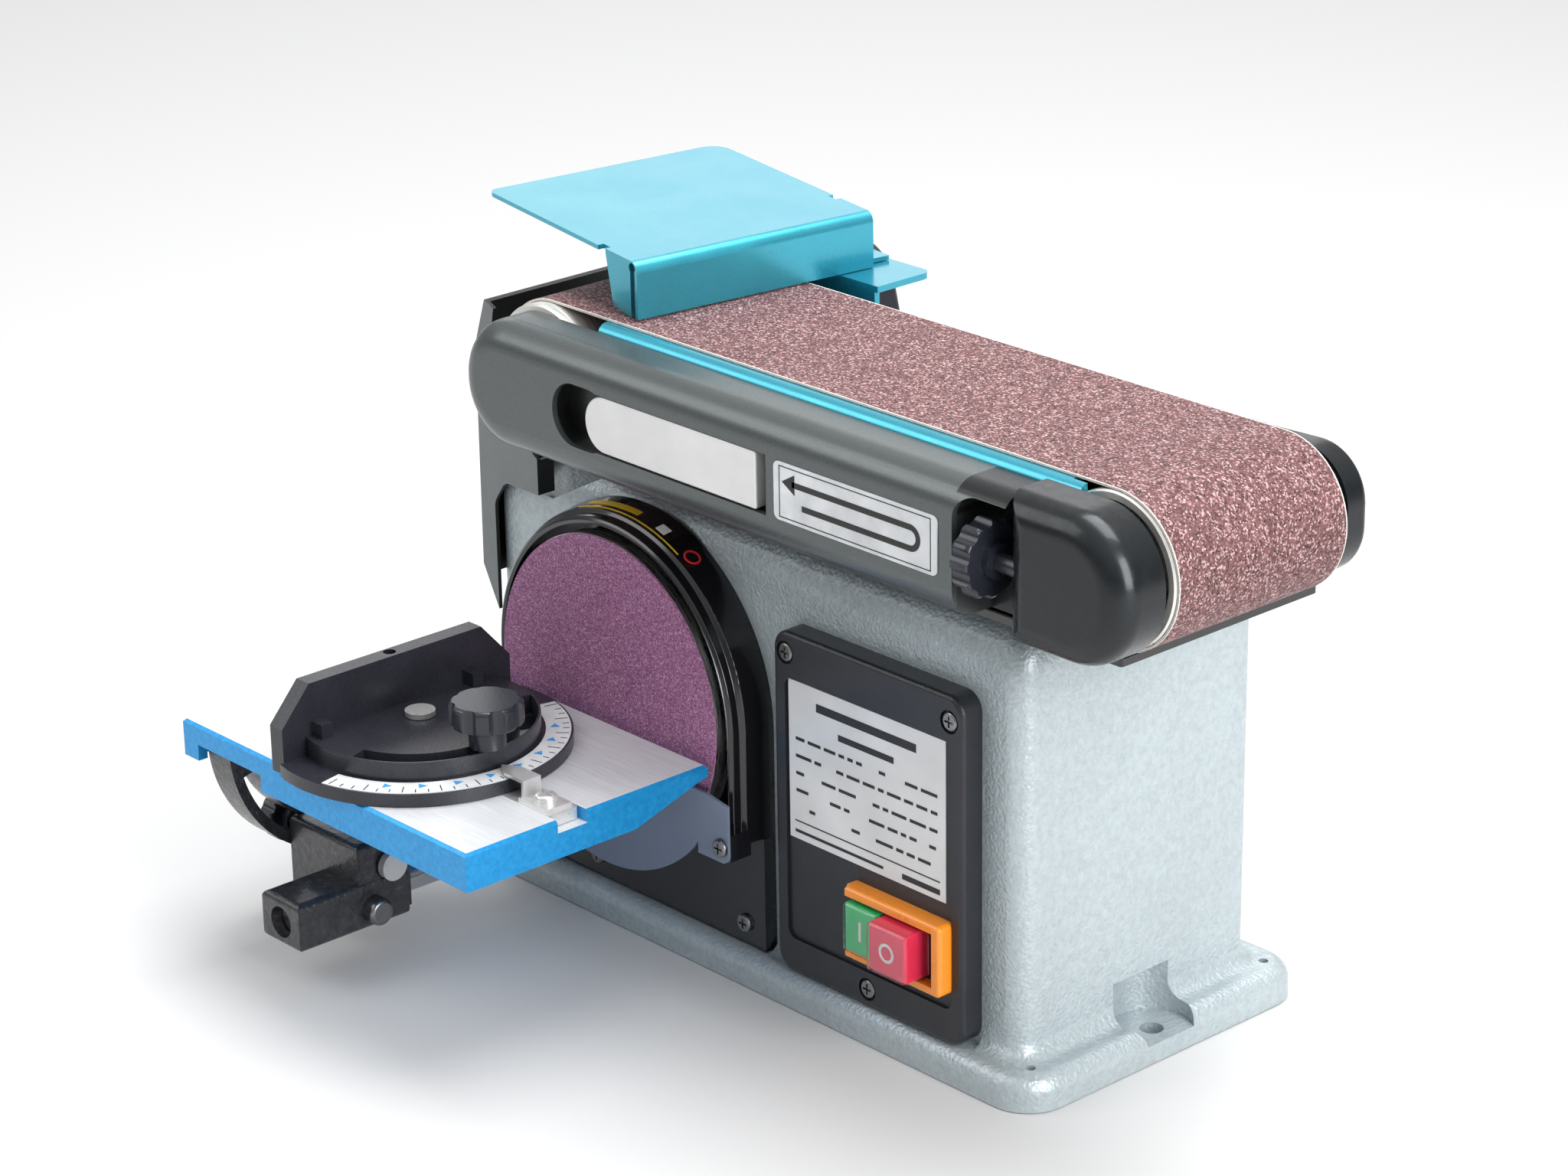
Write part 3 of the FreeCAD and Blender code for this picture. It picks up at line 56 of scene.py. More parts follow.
class Finish:
    """A node material that starts as one shader and gains pattern, bump and wear."""

    def __init__(self, name, colour, rough=0.5, metal=0.0, coat=0.0, spec=0.5):
        self.mat = bpy.data.materials.new(name)
        self.mat.use_nodes = True
        self.nodes = self.mat.node_tree.nodes
        self.links = self.mat.node_tree.links
        self.nodes.clear()
        self.out = self.nodes.new("ShaderNodeOutputMaterial")
        self.shader = self.nodes.new("ShaderNodeBsdfPrincipled")
        self.links.new(self.shader.outputs[0], self.out.inputs[0])
        self.coord = self.nodes.new("ShaderNodeTexCoord")
        self.shader.inputs["Base Color"].default_value = (*colour, 1.0)
        self.shader.inputs["Roughness"].default_value = rough
        self.shader.inputs["Metallic"].default_value = metal
        self.shader.inputs["Coat Weight"].default_value = coat
        self.shader.inputs["Coat Roughness"].default_value = 0.12
        self.shader.inputs["Specular IOR Level"].default_value = spec
        self.height = None

    def place(self, stretch=(1.0, 1.0, 1.0)):
        node = self.nodes.new("ShaderNodeMapping")
        node.inputs["Scale"].default_value = stretch
        self.links.new(self.coord.outputs["Object"], node.inputs["Vector"])
        return node.outputs[0]

    def noise(self, scale, detail=3.0, rough=0.55, stretch=(1.0, 1.0, 1.0)):
        node = self.nodes.new("ShaderNodeTexNoise")
        node.inputs["Scale"].default_value = scale
        node.inputs["Detail"].default_value = detail
        node.inputs["Roughness"].default_value = rough
        self.links.new(self.place(stretch), node.inputs["Vector"])
        return node.outputs["Fac"]

    def cells(self, scale, feature="F1"):
        node = self.nodes.new("ShaderNodeTexVoronoi")
        node.feature = feature
        node.inputs["Scale"].default_value = scale
        self.links.new(self.place(), node.inputs["Vector"])
        return node.outputs["Distance"]

    def ramp(self, value, stops):
        node = self.nodes.new("ShaderNodeValToRGB")
        points = node.color_ramp.elements
        while len(points) < len(stops):
            points.new(0.5)
        for point, (where, colour) in zip(points, stops):
            point.position = where
            point.color = (*colour, 1.0)
        self.links.new(value, node.inputs[0])
        return node.outputs[0]

    def spread(self, value, low, high, to_low, to_high):
        node = self.nodes.new("ShaderNodeMapRange")
        node.inputs["From Min"].default_value = low
        node.inputs["From Max"].default_value = high
        node.inputs["To Min"].default_value = to_low
        node.inputs["To Max"].default_value = to_high
        self.links.new(value, node.inputs["Value"])
        return node.outputs[0]

    def axis(self, letter, kind="Object"):
        node = self.nodes.new("ShaderNodeSeparateXYZ")
        self.links.new(self.coord.outputs[kind], node.inputs[0])
        return node.outputs["XYZ".index(letter)]

    def maths(self, kind, a, b):
        node = self.nodes.new("ShaderNodeMath")
        node.operation = kind
        for socket, value in zip(node.inputs, (a, b)):
            if isinstance(value, (int, float)):
                socket.default_value = value
            else:
                self.links.new(value, socket)
        return node.outputs[0]

    def blend(self, share, one, two):
        """Colour one where share is 0, colour two where it is 1."""
        node = self.nodes.new("ShaderNodeMix")
        node.data_type = "RGBA"
        self.links.new(share, node.inputs[0])
        for socket, value in ((node.inputs[6], one), (node.inputs[7], two)):
            if isinstance(value, tuple):
                socket.default_value = (*value, 1.0)
            else:
                self.links.new(value, socket)
        return node.outputs[2]

    def paint(self, colour):
        self.links.new(colour, self.shader.inputs["Base Color"])

    def gloss(self, value):
        self.links.new(value, self.shader.inputs["Roughness"])

    def metal(self, value):
        self.links.new(value, self.shader.inputs["Metallic"])

    def bump(self, value, strength, depth):
        node = self.nodes.new("ShaderNodeBump")
        node.inputs["Strength"].default_value = strength
        node.inputs["Distance"].default_value = depth
        self.links.new(value, node.inputs["Height"])
        if self.height is not None:
            self.links.new(self.height, node.inputs["Normal"])
        self.height = node.outputs[0]
        self.links.new(self.height, self.shader.inputs["Normal"])


def shade(colour, factor):
    return tuple(min(1.0, c * factor) for c in colour)


def cast_silver():
    """Thick silver-grey paint over a sand casting: pebbled relief, with painted shade making it darker along
    the top, where it lies under the belt arm.
    """
    f = Finish("cast_silver_paint", (0.42, 0.45, 0.46), 0.36, 0.35, 0.25)
    pebbles = f.noise(330.0, 4.0, 0.6)
    broad = f.noise(11.0, 3.0)
    pale = f.ramp(pebbles, [(0.30, (0.40, 0.46, 0.48)), (0.50, (0.445, 0.51, 0.535)),
                            (0.70, (0.49, 0.56, 0.58))])
    # The dark ramp is the shaded copy of the paint, used for the painted shade along the top.
    dark = f.ramp(pebbles, [(0.30, (0.20, 0.24, 0.26)), (0.50, (0.24, 0.28, 0.30)),
                            (0.70, (0.29, 0.33, 0.35))])
    # Painted shade: from shoulder to crown the dark copy takes over towards the top, broken into patches by
    # broad noise, standing in for the shade under the belt arm.
    shoulder, crown = 0.180, 0.214
    height = f.spread(f.axis("Z"), shoulder, crown, 0.0, 1.0)
    painted_top_shade = f.maths("MULTIPLY", height, f.spread(broad, 0.3, 0.7, 0.55, 1.0))
    stain = f.spread(broad, 0.35, 0.75, 0.0, 0.16)
    f.paint(f.blend(stain, f.blend(painted_top_shade, pale, dark), (0.22, 0.25, 0.27)))
    f.gloss(f.spread(pebbles, 0.3, 0.7, 0.42, 0.28))
    f.bump(f.cells(620.0, "SMOOTH_F1"), 0.5, 0.0007)
    f.bump(f.noise(420.0, 4.0, 0.7), 0.5, 0.0008)
    return f.mat


def smooth_paint(name, colour, rough=0.32, coat=0.35, peel=0.05, metal=0.0, dust=0.12):
    """Sprayed paint: faint orange peel, slight unevenness, a little dust in the gloss."""
    f = Finish(name, colour, rough, metal, coat)
    cloud = f.noise(26.0, 3.0)
    f.paint(f.ramp(cloud, [(0.3, shade(colour, 1.0 - dust)), (0.7, shade(colour, 1.0 + dust))]))
    f.gloss(f.spread(f.noise(160.0, 2.0), 0.3, 0.7, rough * 0.82, rough * 1.25))
    f.bump(f.noise(900.0, 2.0), peel, 0.0003)
    return f.mat


def metallic_blue():
    """Teal-blue lacquer over bright sheet, with fine flake and a clear coat."""
    f = Finish("metallic_blue_paint", (0.02, 0.33, 0.55), 0.3, 0.75, 0.6)
    flake = f.cells(5200.0)
    cloud = f.noise(9.0)
    deep = f.ramp(flake, [(0.15, (0.02, 0.29, 0.43)), (0.5, (0.035, 0.37, 0.50)), (0.85, (0.07, 0.46, 0.57))])
    f.paint(f.blend(f.spread(cloud, 0.35, 0.65, 0.0, 0.35), deep, (0.04, 0.42, 0.50)))
    f.gloss(f.spread(f.noise(30.0), 0.3, 0.7, 0.24, 0.36))
    f.bump(f.noise(500.0), 0.03, 0.0003)
    return f.mat


def moulded(name, colour, rough=0.5, grain=1500.0, depth=0.25, sheen=0.0):
    """Moulded plastic with a fine spark-eroded grain."""
    f = Finish(name, colour, rough)
    f.shader.inputs["Sheen Weight"].default_value = sheen
    fine = f.noise(grain, 2.0)
    f.paint(f.ramp(f.noise(60.0), [(0.3, shade(colour, 0.86)), (0.7, shade(colour, 1.16))]))
    f.gloss(f.spread(fine, 0.3, 0.7, rough * 0.85, rough * 1.15))
    f.bump(fine, depth, 0.0003)
    return f.mat


def side_cover_finish():
    """Satin grey plastic, with painted shade of near black inside the lever and knob hollows."""
    grey = (0.105, 0.118, 0.118)
    f = Finish("satin_grey_cover", grey, 0.3, 0.6, 0.12)
    fine = f.noise(1500.0, 2.0)
    body = f.ramp(f.noise(900.0), [(0.3, shade(grey, 0.93)), (0.7, shade(grey, 1.07))])
    lever_left, lever_right, knob_left, fade = -0.0700, 0.0720, 0.1835, 0.0002
    deep = f.spread(f.axis("Y"), -0.1236, -0.1229, 0.0, 1.0)
    off_centre = f.maths("ABSOLUTE", f.maths("SUBTRACT", f.axis("Z"), DRUM.z), 0.0)
    inside = f.spread(off_centre, 0.0150, 0.0140, 0.0, 1.0)
    right = f.spread(f.axis("X"), lever_right + fade, lever_right - fade, 0.0, 1.0)
    left = f.spread(f.axis("X"), lever_left - fade, lever_left + fade, 0.0, 1.0)
    lever = f.maths("MULTIPLY", f.maths("MULTIPLY", deep, inside), f.maths("MULTIPLY", right, left))
    knob = f.maths("MULTIPLY", f.spread(f.axis("X"), knob_left - fade, knob_left + fade, 0.0, 1.0), deep)
    # Painted shade: the lever slot and the knob pocket are painted near black for the shade inside them.
    f.paint(f.blend(f.maths("MAXIMUM", lever, knob), body, (0.02, 0.021, 0.022)))
    f.gloss(f.spread(fine, 0.3, 0.7, 0.27, 0.36))
    f.bump(fine, 0.12, 0.0003)
    return f.mat


def steel(name, tone=0.72, rough=0.28, stretch=(1.0, 1.0, 1.0), scale=700.0, metal=1.0):
    """Turned or drawn steel: fine lines the way the tool ran, faint stains."""
    f = Finish(name, (tone, tone, tone), rough, metal)
    lines = f.noise(scale, 3.0, 0.6, stretch)
    f.paint(f.ramp(f.noise(22.0), [(0.3, (tone * 0.9,) * 3), (0.7, (min(tone * 1.08, 1.0),) * 3)]))
    f.gloss(f.spread(lines, 0.3, 0.7, rough * 0.8, rough * 1.3))
    f.bump(lines, 0.03, 0.0001)
    return f.mat


def black_casting():
    """Lumpy black enamel over rough iron, worn paler on the high spots."""
    f = Finish("black_cast_paint", (0.02, 0.02, 0.022), 0.32, 0.0, 0.3)
    lumps = f.noise(260.0, 4.0, 0.65)
    f.paint(f.ramp(lumps, [(0.35, (0.010, 0.010, 0.012)), (0.62, (0.030, 0.031, 0.035)),
                           (0.78, (0.09, 0.09, 0.10))]))
    f.gloss(f.spread(lumps, 0.3, 0.7, 0.42, 0.24))
    f.bump(lumps, 0.65, 0.0011)
    return f.mat


def grit(name, base, glint, dark, edge=None, scale=1500.0):
    """Coated abrasive: packed grains over a tinted bond; edge marks the paper's cut edges."""
    f = Finish(name, base, 0.8, 0.0, 0.0, 0.4)
    node = f.nodes.new("ShaderNodeTexVoronoi")
    node.inputs["Scale"].default_value = scale
    f.links.new(f.place(), node.inputs["Vector"])
    each = f.nodes.new("ShaderNodeSeparateColor")
    f.links.new(node.outputs["Color"], each.inputs[0])
    grain = f.ramp(each.outputs[0], [(0.0, dark), (0.22, shade(base, 0.75)), (0.5, base),
                                     (0.74, shade(base, 1.35)), (0.9, glint), (1.0, shade(glint, 1.25))])
    colour = f.blend(f.spread(f.noise(scale * 0.22, 3.0), 0.35, 0.7, 0.0, 0.35), grain, dark)
    if edge:
        colour = f.blend(edge(f), colour, (0.74, 0.70, 0.64))
    f.paint(colour)
    f.gloss(f.spread(each.outputs[1], 0.0, 1.0, 0.9, 0.45))
    f.bump(node.outputs["Distance"], 0.8, 0.0006)
    f.bump(each.outputs[2], 0.35, 0.0005)
    return f.mat


def belt_edges(f):
    """The last half millimetre of the belt at both sides."""
    from_middle = f.maths("ABSOLUTE", f.maths("SUBTRACT", f.axis("Y"), BELT_MIDDLE), 0.0)
    return f.spread(from_middle, 0.0492, 0.0496, 0.0, 1.0)


def table_finish():
    """Ground top with fine lines along the slot, bright blue paint on every other face."""
    f = Finish("ground_table", (0.5, 0.5, 0.5), 0.34, 1.0)
    lines = f.noise(620.0, 4.0, 0.7, (0.06, 1.0, 1.0))
    stain = f.noise(18.0, 4.0)
    ground = f.ramp(lines, [(0.3, (0.60, 0.62, 0.65)), (0.7, (0.74, 0.76, 0.79))])
    facing = f.spread(f.axis("Z", "Normal"), 0.93, 0.97, 0.0, 1.0)
    slot_low, slot_high = 0.1052, 0.1056
    top = f.maths("MULTIPLY", facing, f.spread(f.axis("Z"), slot_low, slot_high, 0.0, 1.0))
    blue = f.ramp(f.noise(420.0), [(0.3, (0.01, 0.24, 0.58)), (0.7, (0.02, 0.33, 0.70))])
    f.paint(f.blend(top, blue, ground))
    f.metal(f.spread(top, 0.0, 1.0, 0.35, 0.3))
    f.gloss(f.maths("ADD", f.spread(top, 0.0, 1.0, 0.22, 0.36), f.spread(stain, 0.3, 0.7, 0.0, 0.12)))
    f.bump(lines, 0.06, 0.0002)
    f.bump(f.noise(260.0, 3.0), 0.12, 0.0005)
    return f.mat


def cut_aluminium(name, tone=0.78):
    """Lathe-turned aluminium with rings along the turning axis, which is Y."""
    f = Finish(name, (tone,) * 3, 0.3, 1.0)
    rings = f.noise(900.0, 3.0, 0.6, (0.05, 1.0, 0.05))
    f.paint(f.ramp(f.noise(40.0), [(0.3, (tone * 0.88,) * 3), (0.7, (tone * 1.05,) * 3)]))
    f.gloss(f.spread(rings, 0.3, 0.7, 0.2, 0.42))
    f.bump(rings, 0.16, 0.0003)
    return f.mat


def drum_finish():
    """Turned drum: bright, with fine rings the way it was turned."""
    f = Finish("turned_drum", (0.7, 0.7, 0.68), 0.34, 0.6)
    rings = f.noise(800.0, 3.0, 0.6, (0.05, 1.0, 0.05))
    f.paint(f.ramp(rings, [(0.3, (0.62, 0.61, 0.58)), (0.7, (0.82, 0.81, 0.77))]))
    f.gloss(f.spread(rings, 0.3, 0.7, 0.26, 0.5))
    f.bump(rings, 0.12, 0.0003)
    return f.mat


def hood_finish():
    """Sprayed grey sheet, with painted shade: near black within and on every face not turned towards -X or
    -Y.
    """
    f = Finish("hood_grey_paint", (0.05, 0.055, 0.058), 0.4, 0.0, 0.2)
    cloud = f.noise(30.0)
    # Painted shade: only faces turned towards -X or -Y keep the grey; every other face gets the near black of
    # shade.
    outside = f.maths("MAXIMUM", f.spread(f.axis("X", "Normal"), -0.4, -0.8, 0.0, 1.0),
                      f.spread(f.axis("Y", "Normal"), -0.4, -0.8, 0.0, 1.0))
    grey = f.ramp(cloud, [(0.3, (0.14, 0.155, 0.158)), (0.7, (0.17, 0.185, 0.19))])
    f.paint(f.blend(outside, (0.015, 0.015, 0.016), grey))
    f.gloss(f.spread(f.noise(300.0), 0.3, 0.7, 0.34, 0.5))
    f.bump(f.noise(900.0), 0.08, 0.0003)
    return f.mat


def clear_plastic():
    """Clear moulded boot, a little scuffed."""
    f = Finish("clear_boot", (0.96, 0.97, 0.97), 0.08)
    f.shader.inputs["Transmission Weight"].default_value = 1.0
    f.shader.inputs["IOR"].default_value = 1.2
    f.gloss(f.spread(f.noise(300.0), 0.3, 0.7, 0.04, 0.14))
    f.bump(f.noise(200.0), 0.04, 0.0003)
    return f.mat


SILVER = cast_silver()
BLACK_GLOSS = smooth_paint("black_gloss_paint", (0.007, 0.007, 0.009), 0.16, 0.4, 0.04)
# Painted reflection: the disc cover is dark sheet, coloured with the blue-grey of the light it reflects.
PAINTED_REFLECTION_GREY = smooth_paint("blue_grey_painted_reflection", (0.16, 0.20, 0.28), 0.34, 0.25, 0.06, 0.1, 0.06)
BLUE = metallic_blue()
COVER = side_cover_finish()
CAP = smooth_paint("satin_grey_cap", (0.015, 0.018, 0.02), 0.26, 0.12, 0.06, 0.5, 0.05)
BLACK_PLASTIC = moulded("black_grained_plastic", (0.014, 0.015, 0.02), 0.36, 1500.0, 0.4)
GAUGE_BLACK = moulded("dark_satin_casting", (0.018, 0.019, 0.026), 0.3, 700.0, 0.2)
KNOB_BLACK = moulded("knob_plastic", (0.018, 0.02, 0.028), 0.24, 900.0, 0.1)
STEEL = steel("bright_steel", 0.72, 0.34, (1.0, 1.0, 1.0), 700.0, 0.75)
ROD = steel("drawn_rod", 0.62, 0.2, (1.0, 0.04, 1.0))
SCREW = steel("dark_zinc_screw", 0.24, 0.3)
LEVER = steel("pale_lever_plate", 0.74, 0.36, (0.05, 1.0, 1.0), 500.0, 0.35)
CASTING = black_casting()
ALUMINIUM = cut_aluminium("turned_aluminium")
DRUMS = drum_finish()
BELT = grit("brown_belt_grit", (0.185, 0.082, 0.084), (0.52, 0.35, 0.35), (0.032, 0.012, 0.014),
            belt_edges, 1250.0)
PAPER = grit("plum_disc_grit", (0.34, 0.13, 0.27), (0.54, 0.32, 0.48), (0.17, 0.055, 0.13), None, 1900.0)
TABLE = table_finish()
HOOD = hood_finish()
PLATE = steel("silver_label", 0.70, 0.38, (0.04, 1.0, 1.0), 420.0, 0.3)
RUBBER = moulded("drive_rubber", (0.012, 0.012, 0.012), 0.75, 600.0, 0.4)
ORANGE = smooth_paint("orange_switch_plastic", (0.86, 0.27, 0.02), 0.24, 0.5, 0.03, 0.0, 0.05)
GREEN = smooth_paint("green_key", (0.03, 0.52, 0.16), 0.16, 1.0, 0.02, 0.0, 0.06)
RED = smooth_paint("red_key", (0.82, 0.035, 0.10), 0.16, 1.0, 0.02, 0.0, 0.06)
CLEAR = clear_plastic()
INK = moulded("black_print", (0.012, 0.012, 0.013), 0.45, 900.0, 0.05)
WHITE_INK = moulded("white_print", (0.82, 0.82, 0.80), 0.4, 900.0, 0.05)
YELLOW_INK = moulded("yellow_print", (0.85, 0.55, 0.02), 0.4, 900.0, 0.05)
RED_INK = moulded("red_print", (0.70, 0.03, 0.03), 0.4, 900.0, 0.05)
BLUE_INK = moulded("blue_print", (0.05, 0.30, 0.70), 0.4, 900.0, 0.05)
PALE_PLATE = moulded("pale_plate", (0.66, 0.68, 0.70), 0.35, 500.0, 0.06)

FINISHES = {
    "base_casting": SILVER, "motor_housing": ALUMINIUM, "stator_core": STEEL, "shaft_bearings": STEEL,
    "rotor_core": STEEL, "motor_shaft": ROD, "motor_pulley": ALUMINIUM, "disc_plate": ALUMINIUM,
    "disc_abrasive": PAPER, "disc_guard": BLACK_GLOSS, "disc_cover": PAINTED_REFLECTION_GREY,
    "switch_panel": BLACK_PLASTIC,
    "rating_plate": PLATE, "switch_frame": ORANGE, "switch_body": BLACK_PLASTIC, "start_button": GREEN,
    "stop_button": RED, "arm_post": SILVER, "drum_shaft": ROD, "drive_drum": DRUMS, "drum_pulley": ALUMINIUM,
    "drive_belt": RUBBER, "case_plate": BLACK_GLOSS, "pulley_case": BLACK_PLASTIC, "arm_frame": CASTING,
    "platen": BLUE, "sanding_belt": BELT, "side_cover": COVER, "idler_cap": CAP, "far_cover": CAP,
    "belt_guard": BLACK_GLOSS, "direction_plate": PALE_PLATE, "tension_lever": LEVER, "lever_pin": STEEL,
    "tracking_knob": KNOB_BLACK, "idler_yoke": CASTING, "idler_axle": ROD, "idler_drum": DRUMS,
    "idler_bearings": STEEL, "tension_spring": STEEL, "work_stop": BLUE, "stop_bracket": BLUE,
    "stop_screw": STEEL, "arm_bolts": SCREW, "dust_hood": HOOD, "table": TABLE, "trunnion": CASTING,
    "table_carriage": CASTING, "rod_screw": SCREW, "table_rod": ROD, "tilt_bolt": STEEL,
    "tilt_knob": KNOB_BLACK,
    "gauge_bar": STEEL, "gauge_head": GAUGE_BLACK, "gauge_scale": PALE_PLATE, "gauge_knob": KNOB_BLACK,
    "gauge_pointer": STEEL, "pointer_screw": STEEL, "panel_screws": SCREW, "sheet_screws": SCREW,
}
for node, finish in FINISHES.items():
    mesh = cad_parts[node].data
    mesh.materials.clear()
    mesh.materials.append(finish)


# ---------------------------------------------------------------- shaping helpers

def slab(bm, x, y, z):
    """A block between two values on each axis."""
    made = bmesh.ops.create_cube(bm, size=1.0)["verts"]
    size = [b - a for a, b in (x, y, z)]
    mid = [(a + b) / 2 for a, b in (x, y, z)]
    bmesh.ops.scale(bm, vec=size, verts=made)
    bmesh.ops.translate(bm, vec=mid, verts=made)
    return made


def turned(bm, profile, centre, axis, angle=math.tau, steps=48):
    """Spins a closed outline of points about an axis."""
    verts = [bm.verts.new(p) for p in profile]
    face = bm.faces.new(verts)
    full = angle >= math.tau - 1e-6
    bmesh.ops.spin(bm, geom=[face] + list(face.edges) + verts, cent=centre, axis=axis, angle=angle,
                   steps=steps, use_merge=full, use_duplicate=False)


def piece(name, bm, finish, body):
    """Makes the mesh an object of its own that rides on a body."""
    bmesh.ops.remove_doubles(bm, verts=bm.verts, dist=1e-7)
    bmesh.ops.recalc_face_normals(bm, faces=bm.faces)
    mesh = bpy.data.meshes.new(name)
    bm.to_mesh(mesh)
    bm.free()
    mesh.materials.append(finish)
    obj = bpy.data.objects.new(name, mesh)
    bpy.context.scene.collection.objects.link(obj)
    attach(obj, body)
    return obj


# ---------------------------------------------------------------- printed marks

def rating_print():
    """Generic rows of small dashes under a plain header bar."""
    random.seed(7)
    bm = bmesh.new()
    face, proud = -0.0861, -0.08625
    slab(bm, (0.058, 0.121), (proud, face), (0.1490, 0.1530))
    slab(bm, (0.072, 0.107), (proud, face), (0.1395, 0.1425))
    for row in range(5):
        z = 0.1320 - row * 0.0083
        x = 0.0445
        while x < 0.131:
            width = random.uniform(0.003, 0.011)
            if random.random() < 0.72:
                slab(bm, (x, min(x + width, 0.134)), (proud, face), (z, z + 0.0015))
            x += width + 0.0022
    slab(bm, (0.0435, 0.1355), (proud, face), (0.0925, 0.0931))
    slab(bm, (0.0435, 0.100), (proud, face), (0.0872, 0.0886))
    slab(bm, (0.112, 0.1355), (proud, face), (0.0866, 0.0892))
    piece("rating_print", bm, INK, "stand")


def direction_print():
    """The way the belt runs: a loop with an arrow head, in a thin border."""
    bm = bmesh.new()
    face, proud = -0.1265, -0.12665
    half, thick = 0.0046, 0.0013
    left, turn = 0.089, 0.160
    z = DRUM.z
    slab(bm, (left, turn), (proud, face), (z + half - thick, z + half + thick))
    slab(bm, (left + 0.006, turn), (proud, face), (z - half - thick, z - half + thick))
    section = [Vector((turn, face, z + half + thick)), Vector((turn, face, z + half - thick)),
               Vector((turn, proud, z + half - thick)), Vector((turn, proud, z + half + thick))]
    turned(bm, section, (turn, 0.0, z), (0, 1, 0), math.pi, 24)
    head = bmesh.ops.create_cone(bm, cap_ends=True, segments=3, radius1=0.0052, radius2=0.0052,
                                 depth=0.00015)["verts"]
    bmesh.ops.rotate(bm, verts=head, cent=(0, 0, 0), matrix=Matrix.Rotation(math.radians(90), 3, "X"))
    bmesh.ops.rotate(bm, verts=head, cent=(0, 0, 0), matrix=Matrix.Rotation(math.radians(-90), 3, "Y"))
    bmesh.ops.translate(bm, verts=head, vec=(left - 0.001, (face + proud) / 2, z + half))
    for low, high in ((z - 0.0115, z - 0.0111), (z + 0.0111, z + 0.0115)):
        slab(bm, (0.081, 0.172), (proud, face), (low, high))
    for low, high in ((0.081, 0.0814), (0.1716, 0.172)):
        slab(bm, (low, high), (proud, face), (z - 0.0115, z + 0.0115))
    piece("direction_print", bm, INK, "arm")


def key_marks():
    """A bar on the start key and a ring on the stop key."""
    bm = bmesh.new()
    slab(bm, (0.0957, 0.0973), (-0.09715, -0.0969), (0.0545, 0.0640))
    piece("start_mark", bm, WHITE_INK, "start_key")
    bm = bmesh.new()
    centre = Vector((0.1195, -0.10315, 0.059))
    section = [centre + Vector((0.0032, 0, 0)), centre + Vector((0.0046, 0, 0)),
               centre + Vector((0.0046, 0.00025, 0)), centre + Vector((0.0032, 0.00025, 0))]
    turned(bm, section, centre, (0, 1, 0))
    piece("stop_mark", bm, WHITE_INK, "stop_key")


def clear_cap(name, x, y, z, body):
    """A thin clear boot over a key, open behind."""
    bm = bmesh.new()
    slab(bm, x, y, z)
    back = [f for f in bm.faces if f.calc_center_median().y > y[1] - 1e-6]
    bmesh.ops.delete(bm, geom=back, context="FACES_ONLY")
    front = [e for e in bm.edges if not e.is_boundary]
    bmesh.ops.bevel(bm, geom=front, offset=0.0014, segments=3, profile=0.5, affect="EDGES", material=-1)
    bmesh.ops.recalc_face_normals(bm, faces=bm.faces)
    bmesh.ops.solidify(bm, geom=bm.faces[:], thickness=0.0005)
    piece(name, bm, CLEAR, body)


def guard_band(name, finish, first, last, y0, y1):
    """A stretch of printed band on the guard's rim, between two angles from +X."""
    bm = bmesh.new()
    front, depth, rim, flare, film = -0.0905, 0.0125, 0.0847, 0.0019, 0.0003
    r0, r1 = (rim + flare * (y - front) / depth for y in (y0, y1))
    section = [(r0, y0), (r0 + film, y0), (r1 + film, y1), (r1, y1)]
    start = math.radians(first)
    ring = [DISC + Vector((r * math.cos(start), y, r * math.sin(start))) for r, y in section]
    turned(bm, ring, DISC, (0, -1, 0), math.radians(last - first), 24)
    piece(name, bm, finish, "stand")


def guard_marks():
    """Plain bands and a ring where the guard's rim is printed."""
    guard_band("guard_band_yellow", YELLOW_INK, 84, 108, -0.0862, -0.0828)
    guard_band("guard_band_line", YELLOW_INK, 62, 110, -0.0893, -0.0888)
    guard_band("guard_band_size", WHITE_INK, 71, 75, -0.0868, -0.0822)
    bm = bmesh.new()
    angle = math.radians(59)
    normal = Vector((math.cos(angle), 0, math.sin(angle)))
    centre = DISC + normal * 0.0860 + Vector((0, -0.0845, 0))
    outer = bmesh.ops.create_circle(bm, segments=32, radius=0.0042)["verts"]
    inner = bmesh.ops.create_circle(bm, segments=32, radius=0.0032)["verts"]
    bmesh.ops.bridge_loops(bm, edges=list({e for v in outer + inner for e in v.link_edges}))
    made = bm.verts[:]
    turn = normal.to_track_quat("Z", "Y").to_matrix()
    bmesh.ops.rotate(bm, verts=made, cent=(0, 0, 0), matrix=turn)
    bmesh.ops.translate(bm, verts=made, vec=centre)
    bmesh.ops.solidify(bm, geom=bm.faces[:], thickness=0.0003)
    piece("guard_ring_mark", bm, RED_INK, "stand")


